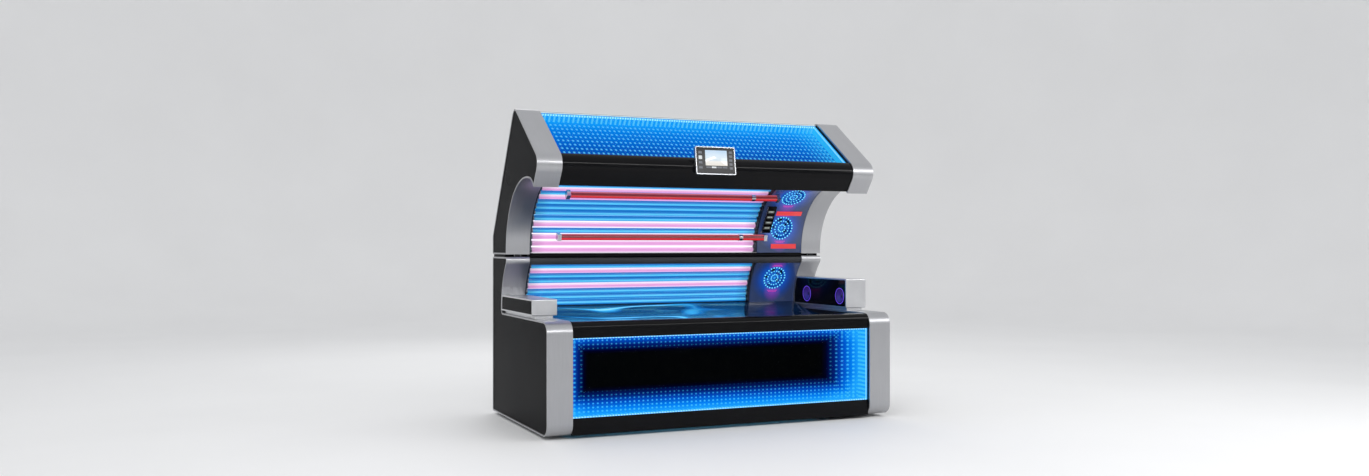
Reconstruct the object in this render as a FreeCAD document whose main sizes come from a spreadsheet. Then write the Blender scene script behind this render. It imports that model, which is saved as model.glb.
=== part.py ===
"""Lie-down tanning bed with a lifting canopy, as a parametric FreeCAD document.

Frame: millimetres, +X towards the head end, +Y towards the rear, +Z up.
The origin is on the floor, under the centre of the bed's plan.
Setbacks are measured from the front face of the lower cheeks towards the rear, leads and
reaches forwards and rearwards from the axis of the curved wall or of the tunnel.
"""
import FreeCAD, Part
import math
import os
import re

import Sketcher

V = FreeCAD.Vector
YZ = FreeCAD.Rotation(V(1, 1, 1), 120)      # sketch x, y, normal -> world Y, Z, X
X_AXIS = V(1, 0, 0)
Y_AXIS = V(0, 1, 0)
Z_AXIS = V(0, 0, 1)

# ---------------------------------------------------------------- driving sizes
DRIVING = {
    # overall
    "overall_length": 2400,
    "overall_depth": 1260,
    "cheek_width": 160,
    "bench_top": 703,
    "split_gap": 18,
    "cheek_lift": 20,
    "band_thickness": 10,
    "panel_thickness": 4,
    "panel_inset": 3,
    "sheet_thickness": 3,
    "seat_gap": 0.3,
    # lower cheek outline
    "front_corner_radius": 75,
    "rear_corner_radius": 15,
    "wall_radius": 435,
    "back_depth": 663,
    "wall_rise": 348,
    "inner_corner_radius": 27,
    "nose_drop": 24.7,
    "nose_radius": 40,
    # canopy cheek outline
    "tunnel_radius": 462,
    "tunnel_lead": 147,
    "tunnel_lift": 19,
    "blend_lead": 86,
    "cusp_radius": 127,
    "cusp_lead": 168,
    "visor_lead": 284,
    "visor_rise": 578,
    "visor_nose_radius": 83,
    "apex_reach": 271,
    "apex_rise": 963,
    "apex_radius": 60,
    "knee_rise": 124,
    "knee_radius": 40,
    # canopy hinge and lift
    "hinge_reach": 328,
    "knuckle_radius": 13,
    "knuckle_clearance": 1.5,
    "canopy_knuckle_half": 8,
    "lug_drop": 45,
    "lug_depth": 16,
    "lug_foot_height": 20,
    "canopy_lug_rise": 40,
    "hinge_half": 19,
    "hinge_pin_radius": 6,
    "hinge_pin_head": 3,
    "opening_angle": 38,
    "lift_inset": 60,
    "lift_arm": 220,
    "lift_pin_radius": 8,
    "lift_slot_clearance": 1.5,
    "lever_thickness": 12,
    "lever_rim": 14,
    "fork_ear": 7,
    "fork_gap": 1,
    "rod_radius": 13,
    "rod_overlap": 320,
    "column_radius": 25,
    "column_headroom": 54,
    "column_floor_gap": 10,
    "fork_half": 16,
    "fork_throat": 36,
    "fork_base": 12,
    "lever_root": 130,
    "lever_end": 262,
    "lever_heel": 195,
    "lever_reach": 95,
    "lever_slot_width": 40,
    "motor_length": 70,
    "motor_height": 130,
    # frame
    "rail_floor": 45,
    "rail_height": 60,
    "rail_width": 40,
    "rail_wall": 4,
    "end_plate_thickness": 4,
    "front_rail_setback": 160,
    "top_beam_reach": 398,
    "canopy_beam_reach": 330,
    "canopy_beam_drop": 270,
    "visor_beam_reach": 159,
    "visor_beam_drop": 50,
    "post_width": 30,
    "post_depth": 40,
    "canopy_post_height": 300,
    "gusset_thickness": 10,
    "lower_gusset_low": 300,
    "lower_gusset_drop": 178,
    "canopy_gusset_low": 40,
    "canopy_gusset_high": 260,
    "canopy_post_reach": 30,
    "beam_size": 30,
    "foot_radius": 35,
    "foot_pad_height": 10,
    "foot_stem_radius": 8,
    "foot_nut_radius": 14,
    "foot_nut_height": 10,
    "foot_inset": 80,
    # front light window
    "window_floor": 120.5,
    "rim_face": 96,
    "window_setback": 20,
    "glass_thickness": 6,
    "tray_depth": 100,
    "strip_width": 10,
    "strip_height": 6,
    "plinth_thickness": 15,
    "rim_setback": 14,
    "rim_back": 95,
    "rim_drop": 3,
    "rim_nose_radius": 42,
    "rim_lip_radius": 20,
    "rim_lip": 45,
    "rim_wall": 8,
    # bench
    "acrylic_thickness": 5,
    "bench_lamp_gap": 6,
    "bench_front_drop": 6,
    "bench_back_rise": 8,
    "bench_back_gap": 2.3,
    "bench_radius": 1835,
    "bench_lamp_count": 14,
    "bench_lamp_margin_angle": 2.85,
    # lamps
    "lamp_radius": 19,
    "lamp_sides": 12,
    "lamp_clearance": 4,
    "holder_rim": 4,
    "lamp_end_gap": 15,
    "lamp_holder": 11,
    "tunnel_lamp_count": 18,
    "tunnel_lamp_first_angle": 1.3,
    "tunnel_lamp_pitch_angle": 5.2,
    "wall_lamp_end_angle": 3.2,
    "wall_lamp_first_angle": 4.2,
    "wall_lamp_pitch_angle": 4.9,
    "lamp_margin_angle": 2.4,
    "reflector_thickness": 2,
    "reflector_gap": 4,
    "ridge_rise": 11,
    "valley_half": 8,
    "acrylic_recess": 2,
    "tunnel_sheet_low_angle": -1.6,
    "tunnel_sheet_high_angle": 99,
    "wall_sheet_low_angle": -1,
    "wall_sheet_drop": 55.6,
    # head section
    "head_section": 370,
    "head_panel_proud": 5,
    "fan_radius": 90,
    "fan_wall": 4,
    "fan_depth": 46,
    "fan_low_angle": 21.2,
    "fan_high_angle": 56.9,
    "wall_fan_angle": 25.3,
    "fan_bar": 4,
    "grille_share": 0.62,
    "fan_rotor_gap": 6,
    "fan_rotor_depth": 20,
    "fan_tip_gap": 5,
    "fan_hub_radius": 22,
    "fan_motor_depth": 12,
    "fan_blade_count": 5,
    "blade_root_chord": 24,
    "blade_tip_chord": 58,
    "blade_thickness": 2.4,
    "blade_pitch": 24,
    "housing_sides": 24,
    "shaft_radius": 4,
    "cooling_fan_radius": 125,
    "cooling_fan_z": 420,
    "keypad_offset": 54,
    "keypad_angle": 30.5,
    "keypad_width": 74,
    "keypad_length": 214,
    "keypad_thickness": 12,
    "key_count": 4,
    "key_width": 52,
    "key_length": 24,
    "key_pitch": 44,
    "key_proud": 2.5,
    "key_depth": 6,
    "key_travel": 1.5,
    # red light
    "red_tube_radius": 22,
    "red_tube_gap": 2,
    "red_tube_inset": 206,
    "red_tube_overhang": 30,
    "red_tube_low_angle": 12.7,
    "red_tube_high_angle": 58.2,
    "red_mount_length": 26,
    "red_clip_inset": 170,
    "red_clip_length": 30,
    "red_bar_offset": 114,
    "red_bar_inset": 50,
    "red_bar_height": 34,
    "red_bar_thickness": 5,
    "red_bar_low_angle": 4.2,
    "red_bar_high_angle": 36,
    # visor light window
    "visor_window_start": 96,
    "visor_window_end": 648,
    "visor_glass_recess": 25,
    "visor_tray_depth": 60,
    "visor_rim_thickness": 5,
    # control panel
    "panel_x": -10,
    "panel_rise": 26,
    "panel_width": 282,
    "panel_height": 182,
    "panel_depth": 24,
    "panel_corner_radius": 8,
    "panel_tilt": 8,
    "screen_inset": 5,
    "screen_thickness": 3,
    # pods
    "pod_lift": 19,
    "foot_pod_setback": 312,
    "foot_pod_height": 101,
    "head_pod_setback": 297,
    "head_pod_height": 201,
    "pod_rim": 9,
    "pod_inset_depth": 7,
    "pod_panel_thickness": 4,
    "pod_corner_radius": 8,
    "speaker_radius": 56,
    "speaker_ring": 8,
    "speaker_near_setback": 384,
    "speaker_far_reach": 239,
    "speaker_lift": 80,
    "speaker_depth": 20,
    "pod_plinth_inset": 20,
    "pod_clearance": 2,
    # electrics
    "ballast_length": 1200,
    "ballast_depth": 420,
    "ballast_box_height": 62,
    "ballast_box_width": 180,
    "ballast_count": 6,
    "ballast_box_depth": 180,
    "control_box_width": 300,
    "control_box_depth": 220,
    "control_box_height": 140,
    "gland_radius": 16,
    "gland_z": 160,
    "gland_inset": 220,
    "gland_length": 22,
    "gland_proud": 6,
    "louvre_width": 420,
    "louvre_height": 12,
    "louvre_pitch": 32,
    "louvre_count": 7,
    "louvre_inset": 480,
    "louvre_z": 300,
}

# ---------------------------------------------------------------- derived sizes
DERIVED = {
    "half_length": "overall_length / 2",
    "front_y": "-overall_depth / 2",
    "rear_y": "overall_depth / 2",
    "cheek_inner": "half_length - cheek_width",
    "body_half": "cheek_inner - seat_gap",
    "hinge_side": "cheek_inner + cheek_width / 2",
    "lift_side": "cheek_inner - lift_inset",
    "foot_side": "cheek_inner - foot_inset",
    "head_panel_start": "cheek_inner - head_section",
    "lamp_head_end": "head_panel_start - lamp_end_gap",
    "fan_x": "(head_panel_start + body_half) / 2",
    "keypad_x": "head_panel_start + keypad_offset",
    "red_tube_start": "red_tube_inset - cheek_inner",
    "red_tube_end": "head_panel_start + red_tube_overhang",
    "red_clip_x": "head_panel_start - red_clip_inset",
    "red_bar_start": "head_panel_start + red_bar_offset",
    "red_bar_end": "cheek_inner - red_bar_inset",
    "gland_x": "cheek_inner - gland_inset",
    "louvre_x": "cheek_inner - louvre_inset",
    "wall_z": "bench_top + inner_corner_radius",
    "split_height": "wall_z + wall_rise",
    "canopy_floor": "split_height + split_gap",
    "tunnel_z": "canopy_floor + tunnel_lift",
    "visor_z": "canopy_floor + visor_rise",
    "apex_z": "canopy_floor + apex_rise",
    "knee_z": "canopy_floor + knee_rise",
    "cover_recess": "acrylic_recess + acrylic_thickness + seat_gap",
    "hinge_y": "wall_y + hinge_reach",
    "hinge_z": "split_height + split_gap / 2",
    # lower cheek outline
    "wall_y": "rear_y - back_depth",
    "wall_face_y": "wall_y + wall_radius",
    "inner_corner_y": "wall_face_y - inner_corner_radius",
    "nose_z": "split_height - nose_drop",
    "nose_y": "wall_y + sqrt((wall_radius + nose_radius)^2 - (nose_z - wall_z)^2)",
    "nose_start_y": "wall_y + (nose_y - wall_y) * wall_radius / (wall_radius + nose_radius)",
    "nose_start_z": "wall_z + (nose_z - wall_z) * wall_radius / (wall_radius + nose_radius)",
    "nose_top_y": "nose_y - sqrt(nose_radius^2 - (split_height - nose_z)^2)",
    # canopy cheek outline
    "tunnel_y": "wall_y - tunnel_lead",
    "tunnel_start_y": "tunnel_y + sqrt(tunnel_radius^2 - (canopy_floor - tunnel_z)^2)",
    "blend_y": "tunnel_y - blend_lead",
    "blend_z": "tunnel_z + sqrt(tunnel_radius^2 - (blend_y - tunnel_y)^2)",
    "cusp_share": "(tunnel_radius - cusp_radius) / tunnel_radius",
    "cusp_centre_y": "tunnel_y + (blend_y - tunnel_y) * cusp_share",
    "cusp_centre_z": "tunnel_z + (blend_z - tunnel_z) * cusp_share",
    "cusp_y": "tunnel_y - cusp_lead",
    "cusp_z": "cusp_centre_z + sqrt(cusp_radius^2 - (cusp_y - cusp_centre_y)^2)",
    "visor_y": "tunnel_y - visor_lead",
    "apex_y": "tunnel_y + apex_reach",
    "slope_length": "sqrt((apex_y - visor_y)^2 + (apex_z - visor_z)^2)",
    "slope_cos": "(apex_y - visor_y) / slope_length",
    "slope_sin": "(apex_z - visor_z) / slope_length",
    # centre of the visor's rounded nose
    "chin_length": "sqrt((cusp_y - visor_y)^2 + (cusp_z - visor_z)^2)",
    "chin_cos": "(cusp_y - visor_y) / chin_length",
    "chin_sin": "(cusp_z - visor_z) / chin_length",
    "bisector": "sqrt((chin_cos + slope_cos)^2 + (chin_sin + slope_sin)^2)",
    "half_sine": "sqrt((1 - chin_cos * slope_cos - chin_sin * slope_sin) / 2)",
    "visor_nose_y": "visor_y + (chin_cos + slope_cos) / bisector * visor_nose_radius / half_sine",
    "visor_nose_z": "visor_z + (chin_sin + slope_sin) / bisector * visor_nose_radius / half_sine",
    "panel_z": "visor_z + panel_rise",
    "panel_seat": "visor_nose_radius - cover_recess + seat_gap",
    "panel_seat_y": "visor_nose_y - panel_seat * cos(panel_tilt)",
    "panel_seat_z": "visor_nose_z + panel_seat * sin(panel_tilt)",
    "panel_back_y": "panel_seat_y + (panel_z - panel_seat_z) * tan(panel_tilt)",
    # radii of the curved layers
    "tunnel_sheet_radius": "tunnel_radius + acrylic_recess",
    "wall_sheet_radius": "wall_radius + acrylic_recess",
    "wall_sheet_high_angle": "asin((wall_rise - wall_sheet_drop) / wall_sheet_radius) / 1 deg",
    "wall_lamp_span": "wall_sheet_high_angle - wall_lamp_first_angle - wall_lamp_end_angle",
    "wall_lamp_count": "floor(wall_lamp_span / wall_lamp_pitch_angle) + 1",
    "lamp_offset": "acrylic_thickness + lamp_clearance + lamp_radius",
    "tunnel_lamp_circle": "tunnel_sheet_radius + lamp_offset",
    "wall_lamp_circle": "wall_sheet_radius + lamp_offset",
    # lift
    "lift_y": "hinge_y + lift_arm",
    "lever_tilt": "opening_angle / 2",
    "lift_pin_z": "hinge_z - lift_arm * tan(lever_tilt)",
    "rail_top": "rail_floor + rail_height",
    "column_top": "lift_pin_z - column_headroom",
    "slot_radius": "lift_pin_radius + lift_slot_clearance",
    "lever_half": "slot_radius + lever_rim",
    "slot_end": "lift_arm / cos(lever_tilt)",
    "lever_tip": "slot_end + lever_half",
    "tilt_cos": "cos(lever_tilt)",
    "tilt_sin": "sin(lever_tilt)",
    "heel_y": "hinge_y + lever_heel * tilt_cos - lever_half * tilt_sin",
    "heel_z": "hinge_z - lever_heel * tilt_sin - lever_half * tilt_cos",
    "toe_y": "hinge_y + lever_tip * tilt_cos - lever_half * tilt_sin",
    "toe_z": "hinge_z - lever_tip * tilt_sin - lever_half * tilt_cos",
    "heel_top_y": "hinge_y + lever_tip * tilt_cos + lever_half * tilt_sin",
    "heel_top_z": "hinge_z - lever_tip * tilt_sin + lever_half * tilt_cos",
    "lever_root_y": "hinge_y + lever_root",
    "lever_beam_z": "canopy_floor + cover_recess + sheet_thickness + 3",
    "lever_top_z": "lever_beam_z + 5",
    "lever_end_y": "hinge_y + lever_end",
    "rear_rail_y": "lift_y - rail_width / 2",
    "front_rail_y": "front_y + front_rail_setback",
    "post_y": "hinge_y + canopy_post_reach",
    "lower_post_y": "wall_face_y + band_thickness + 5",
    "bulkhead_start": "lamp_head_end + lamp_holder",
    "canopy_core": "tunnel_lamp_circle + lamp_radius + reflector_gap + reflector_thickness + 1",
    "beam_z": "split_height - cover_recess - sheet_thickness - 2 - beam_size",
    "red_tube_circle": "tunnel_sheet_radius - red_tube_gap - red_tube_radius",
    "lamp_foot_end": "-(body_half - lamp_holder)",
    "lamp_length": "lamp_head_end - lamp_foot_end",
    "tunnel_lamp_last": "tunnel_lamp_first_angle"
                        " + (tunnel_lamp_count - 1) * tunnel_lamp_pitch_angle",
    "wall_lamp_last": "wall_lamp_first_angle"
                      " + (wall_lamp_count - 1) * wall_lamp_pitch_angle",
    # bench
    "rim_top": "bench_top - rim_drop",
    "window_top": "rim_top - rim_face",
    "bench_front_z": "rim_top - bench_front_drop",
    "bench_back_z": "wall_z + bench_back_rise",
    "lower_gusset_high": "split_height - lower_gusset_drop",
    "bench_front_y": "front_y + rim_back + seat_gap",
    "bench_back_y": "wall_y + wall_sheet_radius - bench_back_gap",
    "bench_chord": "sqrt((bench_back_y - bench_front_y)^2 + (bench_back_z - bench_front_z)^2)",
    "bench_rise": "sqrt(bench_radius^2 - bench_chord^2 / 4)",
    "bench_lean": "(bench_back_z - bench_front_z) / bench_chord",
    "bench_run": "(bench_back_y - bench_front_y) / bench_chord",
    "bench_y": "(bench_front_y + bench_back_y) / 2 - bench_rise * bench_lean",
    "bench_z": "(bench_front_z + bench_back_z) / 2 + bench_rise * bench_run",
    "bench_first": "-90 - atan((bench_y - bench_front_y) / (bench_z - bench_front_z)) / 1 deg",
    "bench_last": "-90 + atan((bench_back_y - bench_y) / (bench_z - bench_back_z)) / 1 deg",
    "bench_lamp_circle": "bench_radius + acrylic_thickness + bench_lamp_gap + lamp_radius",
    "bench_lamp_span": "bench_last - bench_first - 2 * bench_lamp_margin_angle",
    "bench_lamp_pitch_angle": "bench_lamp_span / (bench_lamp_count - 1)",
    "bench_lamp_first_angle": "bench_first + bench_lamp_margin_angle",
    "bench_lamp_last": "bench_lamp_first_angle + (bench_lamp_count - 1) * bench_lamp_pitch_angle",
    "tunnel_holder_radius": "tunnel_sheet_radius + acrylic_thickness + seat_gap",
    "wall_holder_radius": "wall_sheet_radius + acrylic_thickness + seat_gap",
    "bench_holder_radius": "bench_radius + acrylic_thickness + seat_gap",
    "tunnel_reflector_first": "tunnel_lamp_first_angle - lamp_margin_angle",
    "tunnel_reflector_last": "tunnel_lamp_last + lamp_margin_angle",
    "wall_reflector_first": "wall_lamp_first_angle - lamp_margin_angle",
    "wall_reflector_last": "wall_lamp_last + lamp_margin_angle",
    "bench_reflector_first": "bench_lamp_first_angle - lamp_margin_angle / 3",
    "bench_reflector_last": "bench_lamp_last + lamp_margin_angle / 3",
    "tunnel_sheet_outer": "tunnel_sheet_radius + acrylic_thickness",
    "rim_cut_y": "tunnel_y + tunnel_sheet_outer * cos(tunnel_sheet_high_angle - 2)",
    "ridge_offset": "lamp_radius + reflector_gap + reflector_thickness / 2",
    "tunnel_ridge_foot": "tunnel_lamp_circle + ridge_offset",
    "wall_ridge_foot": "wall_lamp_circle + ridge_offset",
    "bench_ridge_foot": "bench_lamp_circle + ridge_offset",
    "tunnel_ridge_tip": "tunnel_ridge_foot - ridge_rise",
    "wall_ridge_tip": "wall_ridge_foot - ridge_rise",
    "bench_ridge_tip": "bench_ridge_foot - ridge_rise",
    "tunnel_ridge_high": "tunnel_ridge_foot * tan(tunnel_lamp_pitch_angle / 2) - valley_half",
    "wall_ridge_high": "wall_ridge_foot * tan(wall_lamp_pitch_angle / 2) - valley_half",
    "bench_ridge_high": "bench_ridge_foot * tan(bench_lamp_pitch_angle / 2) - valley_half",
    "tunnel_ridge_low": "-tunnel_ridge_high",
    "wall_ridge_low": "-wall_ridge_high",
    "bench_ridge_low": "-bench_ridge_high",
    # pods
    "pod_floor": "bench_top + pod_lift",
    "pod_back": "wall_radius - acrylic_recess",
    "foot_pod_y": "front_y + foot_pod_setback",
    "foot_pod_top": "pod_floor + foot_pod_height",
    "head_pod_y": "front_y + head_pod_setback",
    "speaker_near_y": "front_y + speaker_near_setback",
    "speaker_z": "pod_floor + speaker_lift",
    "speaker_far_y": "wall_y + speaker_far_reach",
    "head_pod_top": "pod_floor + head_pod_height",
    "pod_floor_back_y": "wall_y + sqrt(pod_back^2 - (pod_floor - wall_z)^2)",
    "foot_pod_back_y": "wall_y + sqrt(pod_back^2 - (foot_pod_top - wall_z)^2)",
    "head_pod_back_y": "wall_y + sqrt(pod_back^2 - (head_pod_top - wall_z)^2)",
    # control panel and keypad
    "panel_left": "-panel_width / 2",
    "panel_right": "panel_width / 2",
    "panel_low": "-panel_height / 2",
    "panel_high": "panel_height / 2",
    "keypad_back": "sqrt(tunnel_sheet_radius^2 - keypad_length^2 / 4) - seat_gap",
    "red_mount_seat": "sqrt((tunnel_sheet_radius - seat_gap)^2 - red_tube_radius^2)",
    "red_mount_back": "red_mount_seat - red_tube_circle",
    "red_bar_back": "sqrt(tunnel_sheet_radius^2 - red_bar_height^2 / 4) - seat_gap",
    "screen_left": "panel_left + screen_inset",
    "screen_right": "panel_right - screen_inset",
    "screen_low": "panel_low + screen_inset",
    "screen_high": "panel_high - screen_inset",
    "screen_corner": "panel_corner_radius - screen_inset",
    # front rim and window
    "rim_front_y": "front_y + rim_setback",
    "rim_back_y": "front_y + rim_back",
    "rim_floor": "window_top + seat_gap",
    "rim_face_y": "rim_front_y + rim_wall",
    "rim_lip_y": "rim_back_y - rim_wall",
    "rim_lip_floor": "rim_top - rim_lip",
    "rim_ceiling": "rim_top - rim_wall",
    "rim_nose_inner": "rim_nose_radius - rim_wall",
    "rim_lip_inner": "rim_lip_radius - rim_wall",
    "window_y": "front_y + window_setback",
    "window_back": "window_y + glass_thickness + seat_gap",
    "visor_tray_floor": "visor_glass_recess + glass_thickness + seat_gap + visor_tray_depth",
    # fan blades and ridges of the reflectors
    "blade_root": "fan_hub_radius - 3",
    "blade_root_left": "-blade_root_chord / 2",
    "blade_root_right": "blade_root_chord / 2",
    "blade_tip_left": "-blade_tip_chord / 2",
    "blade_tip_right": "blade_tip_chord / 2",
    "fan_bore": "shaft_radius + seat_gap",
    "fan_tip": "sqrt((fan_radius - fan_wall - fan_tip_gap)^2 - blade_tip_chord^2 / 4)",
    "cooling_fan_tip": "sqrt((cooling_fan_radius - fan_wall - fan_tip_gap)^2"
                       " - blade_tip_chord^2 / 4)",
    "cover_cut_first": "-10",
    "zero": "0",
}

doc = FreeCAD.newDocument("tanning_bed")
sheet = doc.addObject("Spreadsheet::Sheet", "Sizes")
WORD = re.compile(r"[a-z][a-z_]+")
FUNCTIONS = {"sqrt", "sin", "cos", "tan"}
SUBPARTS = {}


def fill_sheet():
    """One row for each size: its name in column A, its value or formula in column B."""
    rows = [(name, str(value)) for name, value in DRIVING.items()]
    rows += [(name, "=" + formula) for name, formula in DERIVED.items()]
    for row, (name, content) in enumerate(rows, start=1):
        sheet.set(f"A{row}", name)
        sheet.set(f"B{row}", content)
        sheet.setAlias(f"B{row}", name)
    doc.recompute()


fill_sheet()


def size(name):
    """The value of one cell, as a plain number."""
    return float(getattr(sheet, name))


def count(name):
    return int(round(size(name)))


def cells(formula):
    """A formula of cell names, as an expression that other objects can use."""
    return WORD.sub(lambda m: m[0] if m[0] in FUNCTIONS else "Sizes." + m[0], formula)


def bind(obj, **formulas):
    """Bind properties to formulas of cells; x, y and z are the placement's."""
    for key, formula in formulas.items():
        path = f"Placement.Base.{key}" if key in ("x", "y", "z") else key
        obj.setExpression(path, cells(str(formula)))
    return obj


def subpart(obj, name):
    """Register an object as a sub-part: its label names its file."""
    obj.Label = name
    SUBPARTS[name] = obj
    return obj


# ---------------------------------------------------------------- building blocks
def box(name, x, y, z, length, width, height):
    """A box from its low corner and its sizes along X, Y and Z."""
    return bind(doc.addObject("Part::Box", name), x=x, y=y, z=z,
                Length=length, Width=width, Height=height)


def rod(name, axis, x, y, z, radius, height):
    """A cylinder that starts at a point and runs along an axis."""
    obj = doc.addObject("Part::Cylinder", name)
    obj.Placement.Rotation = FreeCAD.Rotation(Z_AXIS, axis)
    return bind(obj, x=x, y=y, z=z, Radius=radius, Height=height)


def prism(name, sides, x, y, z, radius, height):
    """An equal-sided column that stands on a point."""
    obj = doc.addObject("Part::Prism", name)
    obj.Polygon = sides
    return bind(obj, x=x, y=y, z=z, Circumradius=radius, Height=height)


def fuse(name, parts):
    obj = doc.addObject("Part::MultiFuse", name)
    obj.Shapes = parts
    obj.Refine = True
    return obj


def cut(name, base, tools):
    obj = doc.addObject("Part::Cut", name)
    obj.Base = base
    obj.Tool = tools[0] if len(tools) == 1 else fuse(name + "_tools", tools)
    return obj


def group(name, parts):
    """Separate solids that share one node."""
    obj = doc.addObject("Part::Compound", name)
    obj.Links = parts
    return obj


def constrain(sketch, kind, *where, to):
    index = sketch.addConstraint(Sketcher.Constraint(kind, *where, size(to)))
    sketch.setExpression(f"Constraints[{index}]", "Sizes." + to)


def corner_arc(before, corner, after, radius):
    """The ends and the middle of the arc that rounds a corner."""
    back = (before - corner).normalize()
    ahead = (after - corner).normalize()
    half = back.getAngle(ahead) / 2
    reach = radius / math.tan(half)
    centre = corner + (back + ahead).normalize() * (radius / math.sin(half))
    middle = centre + (corner - centre).normalize() * radius
    return corner + back * reach, middle, corner + ahead * reach


def draw(sketch, corners, arcs=None):
    """Draw a closed, fully constrained outline.

    corners: (x cell, y cell) or (x cell, y cell, radius cell) in order.
    arcs: {corner index: (radius cell, side)} for an edge that leaves that corner as an arc,
    with its centre on the left of the way (side 1) or on the right (side -1).
    """
    arcs = arcs or {}
    points = [V(size(c[0]), size(c[1]), 0) for c in corners]
    total = len(corners)
    rounds = []
    for i, corner in enumerate(corners):
        if len(corner) == 3:
            rounds.append(corner_arc(points[i - 1], points[i], points[(i + 1) % total],
                                     size(corner[2])))
        else:
            rounds.append((points[i], None, points[i]))
    edges = []
    for i in range(total):
        start, end = rounds[i][2], rounds[(i + 1) % total][0]
        if i in arcs:
            radius = size(arcs[i][0])
            chord = end - start
            rise = math.sqrt(max(radius ** 2 - (chord.Length / 2) ** 2, 0))
            normal = V(-chord.y, chord.x, 0).normalize() * arcs[i][1]
            centre = (start + end) * 0.5 + normal * rise
            edges.append(sketch.addGeometry(Part.Arc(start, centre - normal * radius, end)))
        else:
            edges.append(sketch.addGeometry(Part.LineSegment(start, end)))

    def end_at(edge, point):
        gaps = [(sketch.getPoint(edge, pos) - point).Length for pos in (1, 2)]
        return 1 + gaps.index(min(gaps))

    for i, corner in enumerate(corners):
        into, out = edges[i - 1], edges[i]
        first, middle, last = rounds[i]
        if middle is None:
            sketch.addConstraint(Sketcher.Constraint(
                "Coincident", into, end_at(into, first), out, end_at(out, last)))
            constrain(sketch, "DistanceX", out, end_at(out, last), to=corner[0])
            constrain(sketch, "DistanceY", out, end_at(out, last), to=corner[1])
            continue
        arc = sketch.addGeometry(Part.Arc(first, middle, last))
        for edge, point in ((into, first), (out, last)):
            sketch.addConstraint(Sketcher.Constraint(
                "Tangent", edge, end_at(edge, point), arc, end_at(arc, point)))
        constrain(sketch, "Radius", arc, to=corner[2])
        vertex = sketch.addGeometry(Part.Point(points[i]), True)
        constrain(sketch, "DistanceX", vertex, 1, to=corner[0])
        constrain(sketch, "DistanceY", vertex, 1, to=corner[1])
        for edge in (into, out):
            sketch.addConstraint(Sketcher.Constraint("PointOnObject", vertex, 1, edge))
    for i, (radius, _) in arcs.items():
        constrain(sketch, "Radius", edges[i], to=radius)
    return sketch


def outline(name, corners, arcs=None):
    """A free sketch in the YZ plane, which several sub-parts are cut from."""
    sketch = doc.addObject("Sketcher::SketchObject", name)
    sketch.Placement.Rotation = YZ
    return draw(sketch, corners, arcs)


def inset(name, source, distance):
    """The same outline, moved inwards by a distance."""
    obj = doc.addObject("Part::Offset2D", name)
    obj.Source = source
    obj.Join = "Intersection"
    return bind(obj, Value=f"-({distance})")


def extrude(name, profile, start, length):
    """A profile in the YZ plane, extruded along X from a start."""
    obj = doc.addObject("Part::Extrusion", name)
    obj.Base = profile
    obj.DirMode = "Custom"
    obj.Dir = X_AXIS
    obj.Solid = True
    return bind(obj, x=start, LengthFwd=length)


def plane(body, role):
    return next(f for f in body.Origin.OriginFeatures if f.Role == role)


def sketch_on(body, role, name):
    sketch = body.newObject("Sketcher::SketchObject", name)
    sketch.AttachmentSupport = [(plane(body, role), "")]
    sketch.MapMode = "FlatFace"
    return sketch


def pad(body, sketch, name, length):
    feature = body.newObject("PartDesign::Pad", name)
    feature.Profile = sketch
    return bind(feature, Length=length)


def polygon_body(name, corners, arcs, start, length):
    """A PartDesign body: one outline in the YZ plane, padded along X from a start."""
    body = doc.addObject("PartDesign::Body", name)
    sketch = draw(sketch_on(body, "YZ_Plane", name + "_outline"), corners, arcs)
    pad(body, sketch, name + "_pad", length)
    return bind(body, x=start)


def sector(name, centre, radius, thickness, first, last, start, length):
    """A curved sheet about an X axis, between two angles from the rear upwards (degrees)."""
    outer = doc.addObject("Part::Cylinder", name + "_outer")
    outer.Placement.Rotation = FreeCAD.Rotation(X_AXIS, size(first)) * YZ
    bind(outer, x=start, y=centre + "_y", z=centre + "_z", Radius=f"{radius} + {thickness}",
         Height=length, Angle=f"{last} - {first}")
    inner = doc.addObject("Part::Cylinder", name + "_inner")
    inner.Placement.Rotation = YZ
    bind(inner, x=start, y=centre + "_y", z=centre + "_z", Radius=radius, Height=length)
    return cut(name, outer, [inner])


def slope_box(name, x, along, depth, length, width, height):
    """A box on the visor's slope: its place along the slope, and its floor below the slope."""
    obj = box(name, x, f"visor_y + ({along}) * slope_cos + ({depth}) * slope_sin",
              f"visor_z + ({along}) * slope_sin - ({depth}) * slope_cos", length, width, height)
    tilt = math.degrees(math.atan2(size("slope_sin"), size("slope_cos")))
    obj.Placement.Rotation = FreeCAD.Rotation(X_AXIS, tilt)
    return obj


def face_centre(obj, centre, x, distance, angle):
    """Put an object's local XY plane across a radius of an X axis, its +Z towards the axis."""
    turn = math.radians(size(angle))
    obj.Placement = FreeCAD.Placement(
        V(size(x), size(centre + "_y") + distance * math.cos(turn),
          size(centre + "_z") + distance * math.sin(turn)),
        FreeCAD.Rotation(X_AXIS, size(angle) + 90))
    return obj


# ---------------------------------------------------------------- outlines of the cheeks
LOWER_CORNERS = [
    ("front_y", "cheek_lift", "front_corner_radius"),
    ("front_y", "bench_top", "front_corner_radius"),
    ("inner_corner_y", "bench_top"),
    ("wall_face_y", "wall_z"),
    ("nose_start_y", "nose_start_z"),
    ("nose_top_y", "split_height"),
    ("rear_y", "split_height", "rear_corner_radius"),
    ("rear_y", "cheek_lift", "rear_corner_radius"),
]
LOWER_ARCS = {2: ("inner_corner_radius", 1), 3: ("wall_radius", 1), 4: ("nose_radius", -1)}
CANOPY_CORNERS = [
    ("tunnel_start_y", "canopy_floor"),
    ("blend_y", "blend_z"),
    ("cusp_y", "cusp_z"),
    ("visor_y", "visor_z", "visor_nose_radius"),
    ("apex_y", "apex_z", "apex_radius"),
    ("rear_y", "knee_z", "knee_radius"),
    ("rear_y", "canopy_floor", "rear_corner_radius"),
]
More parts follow.
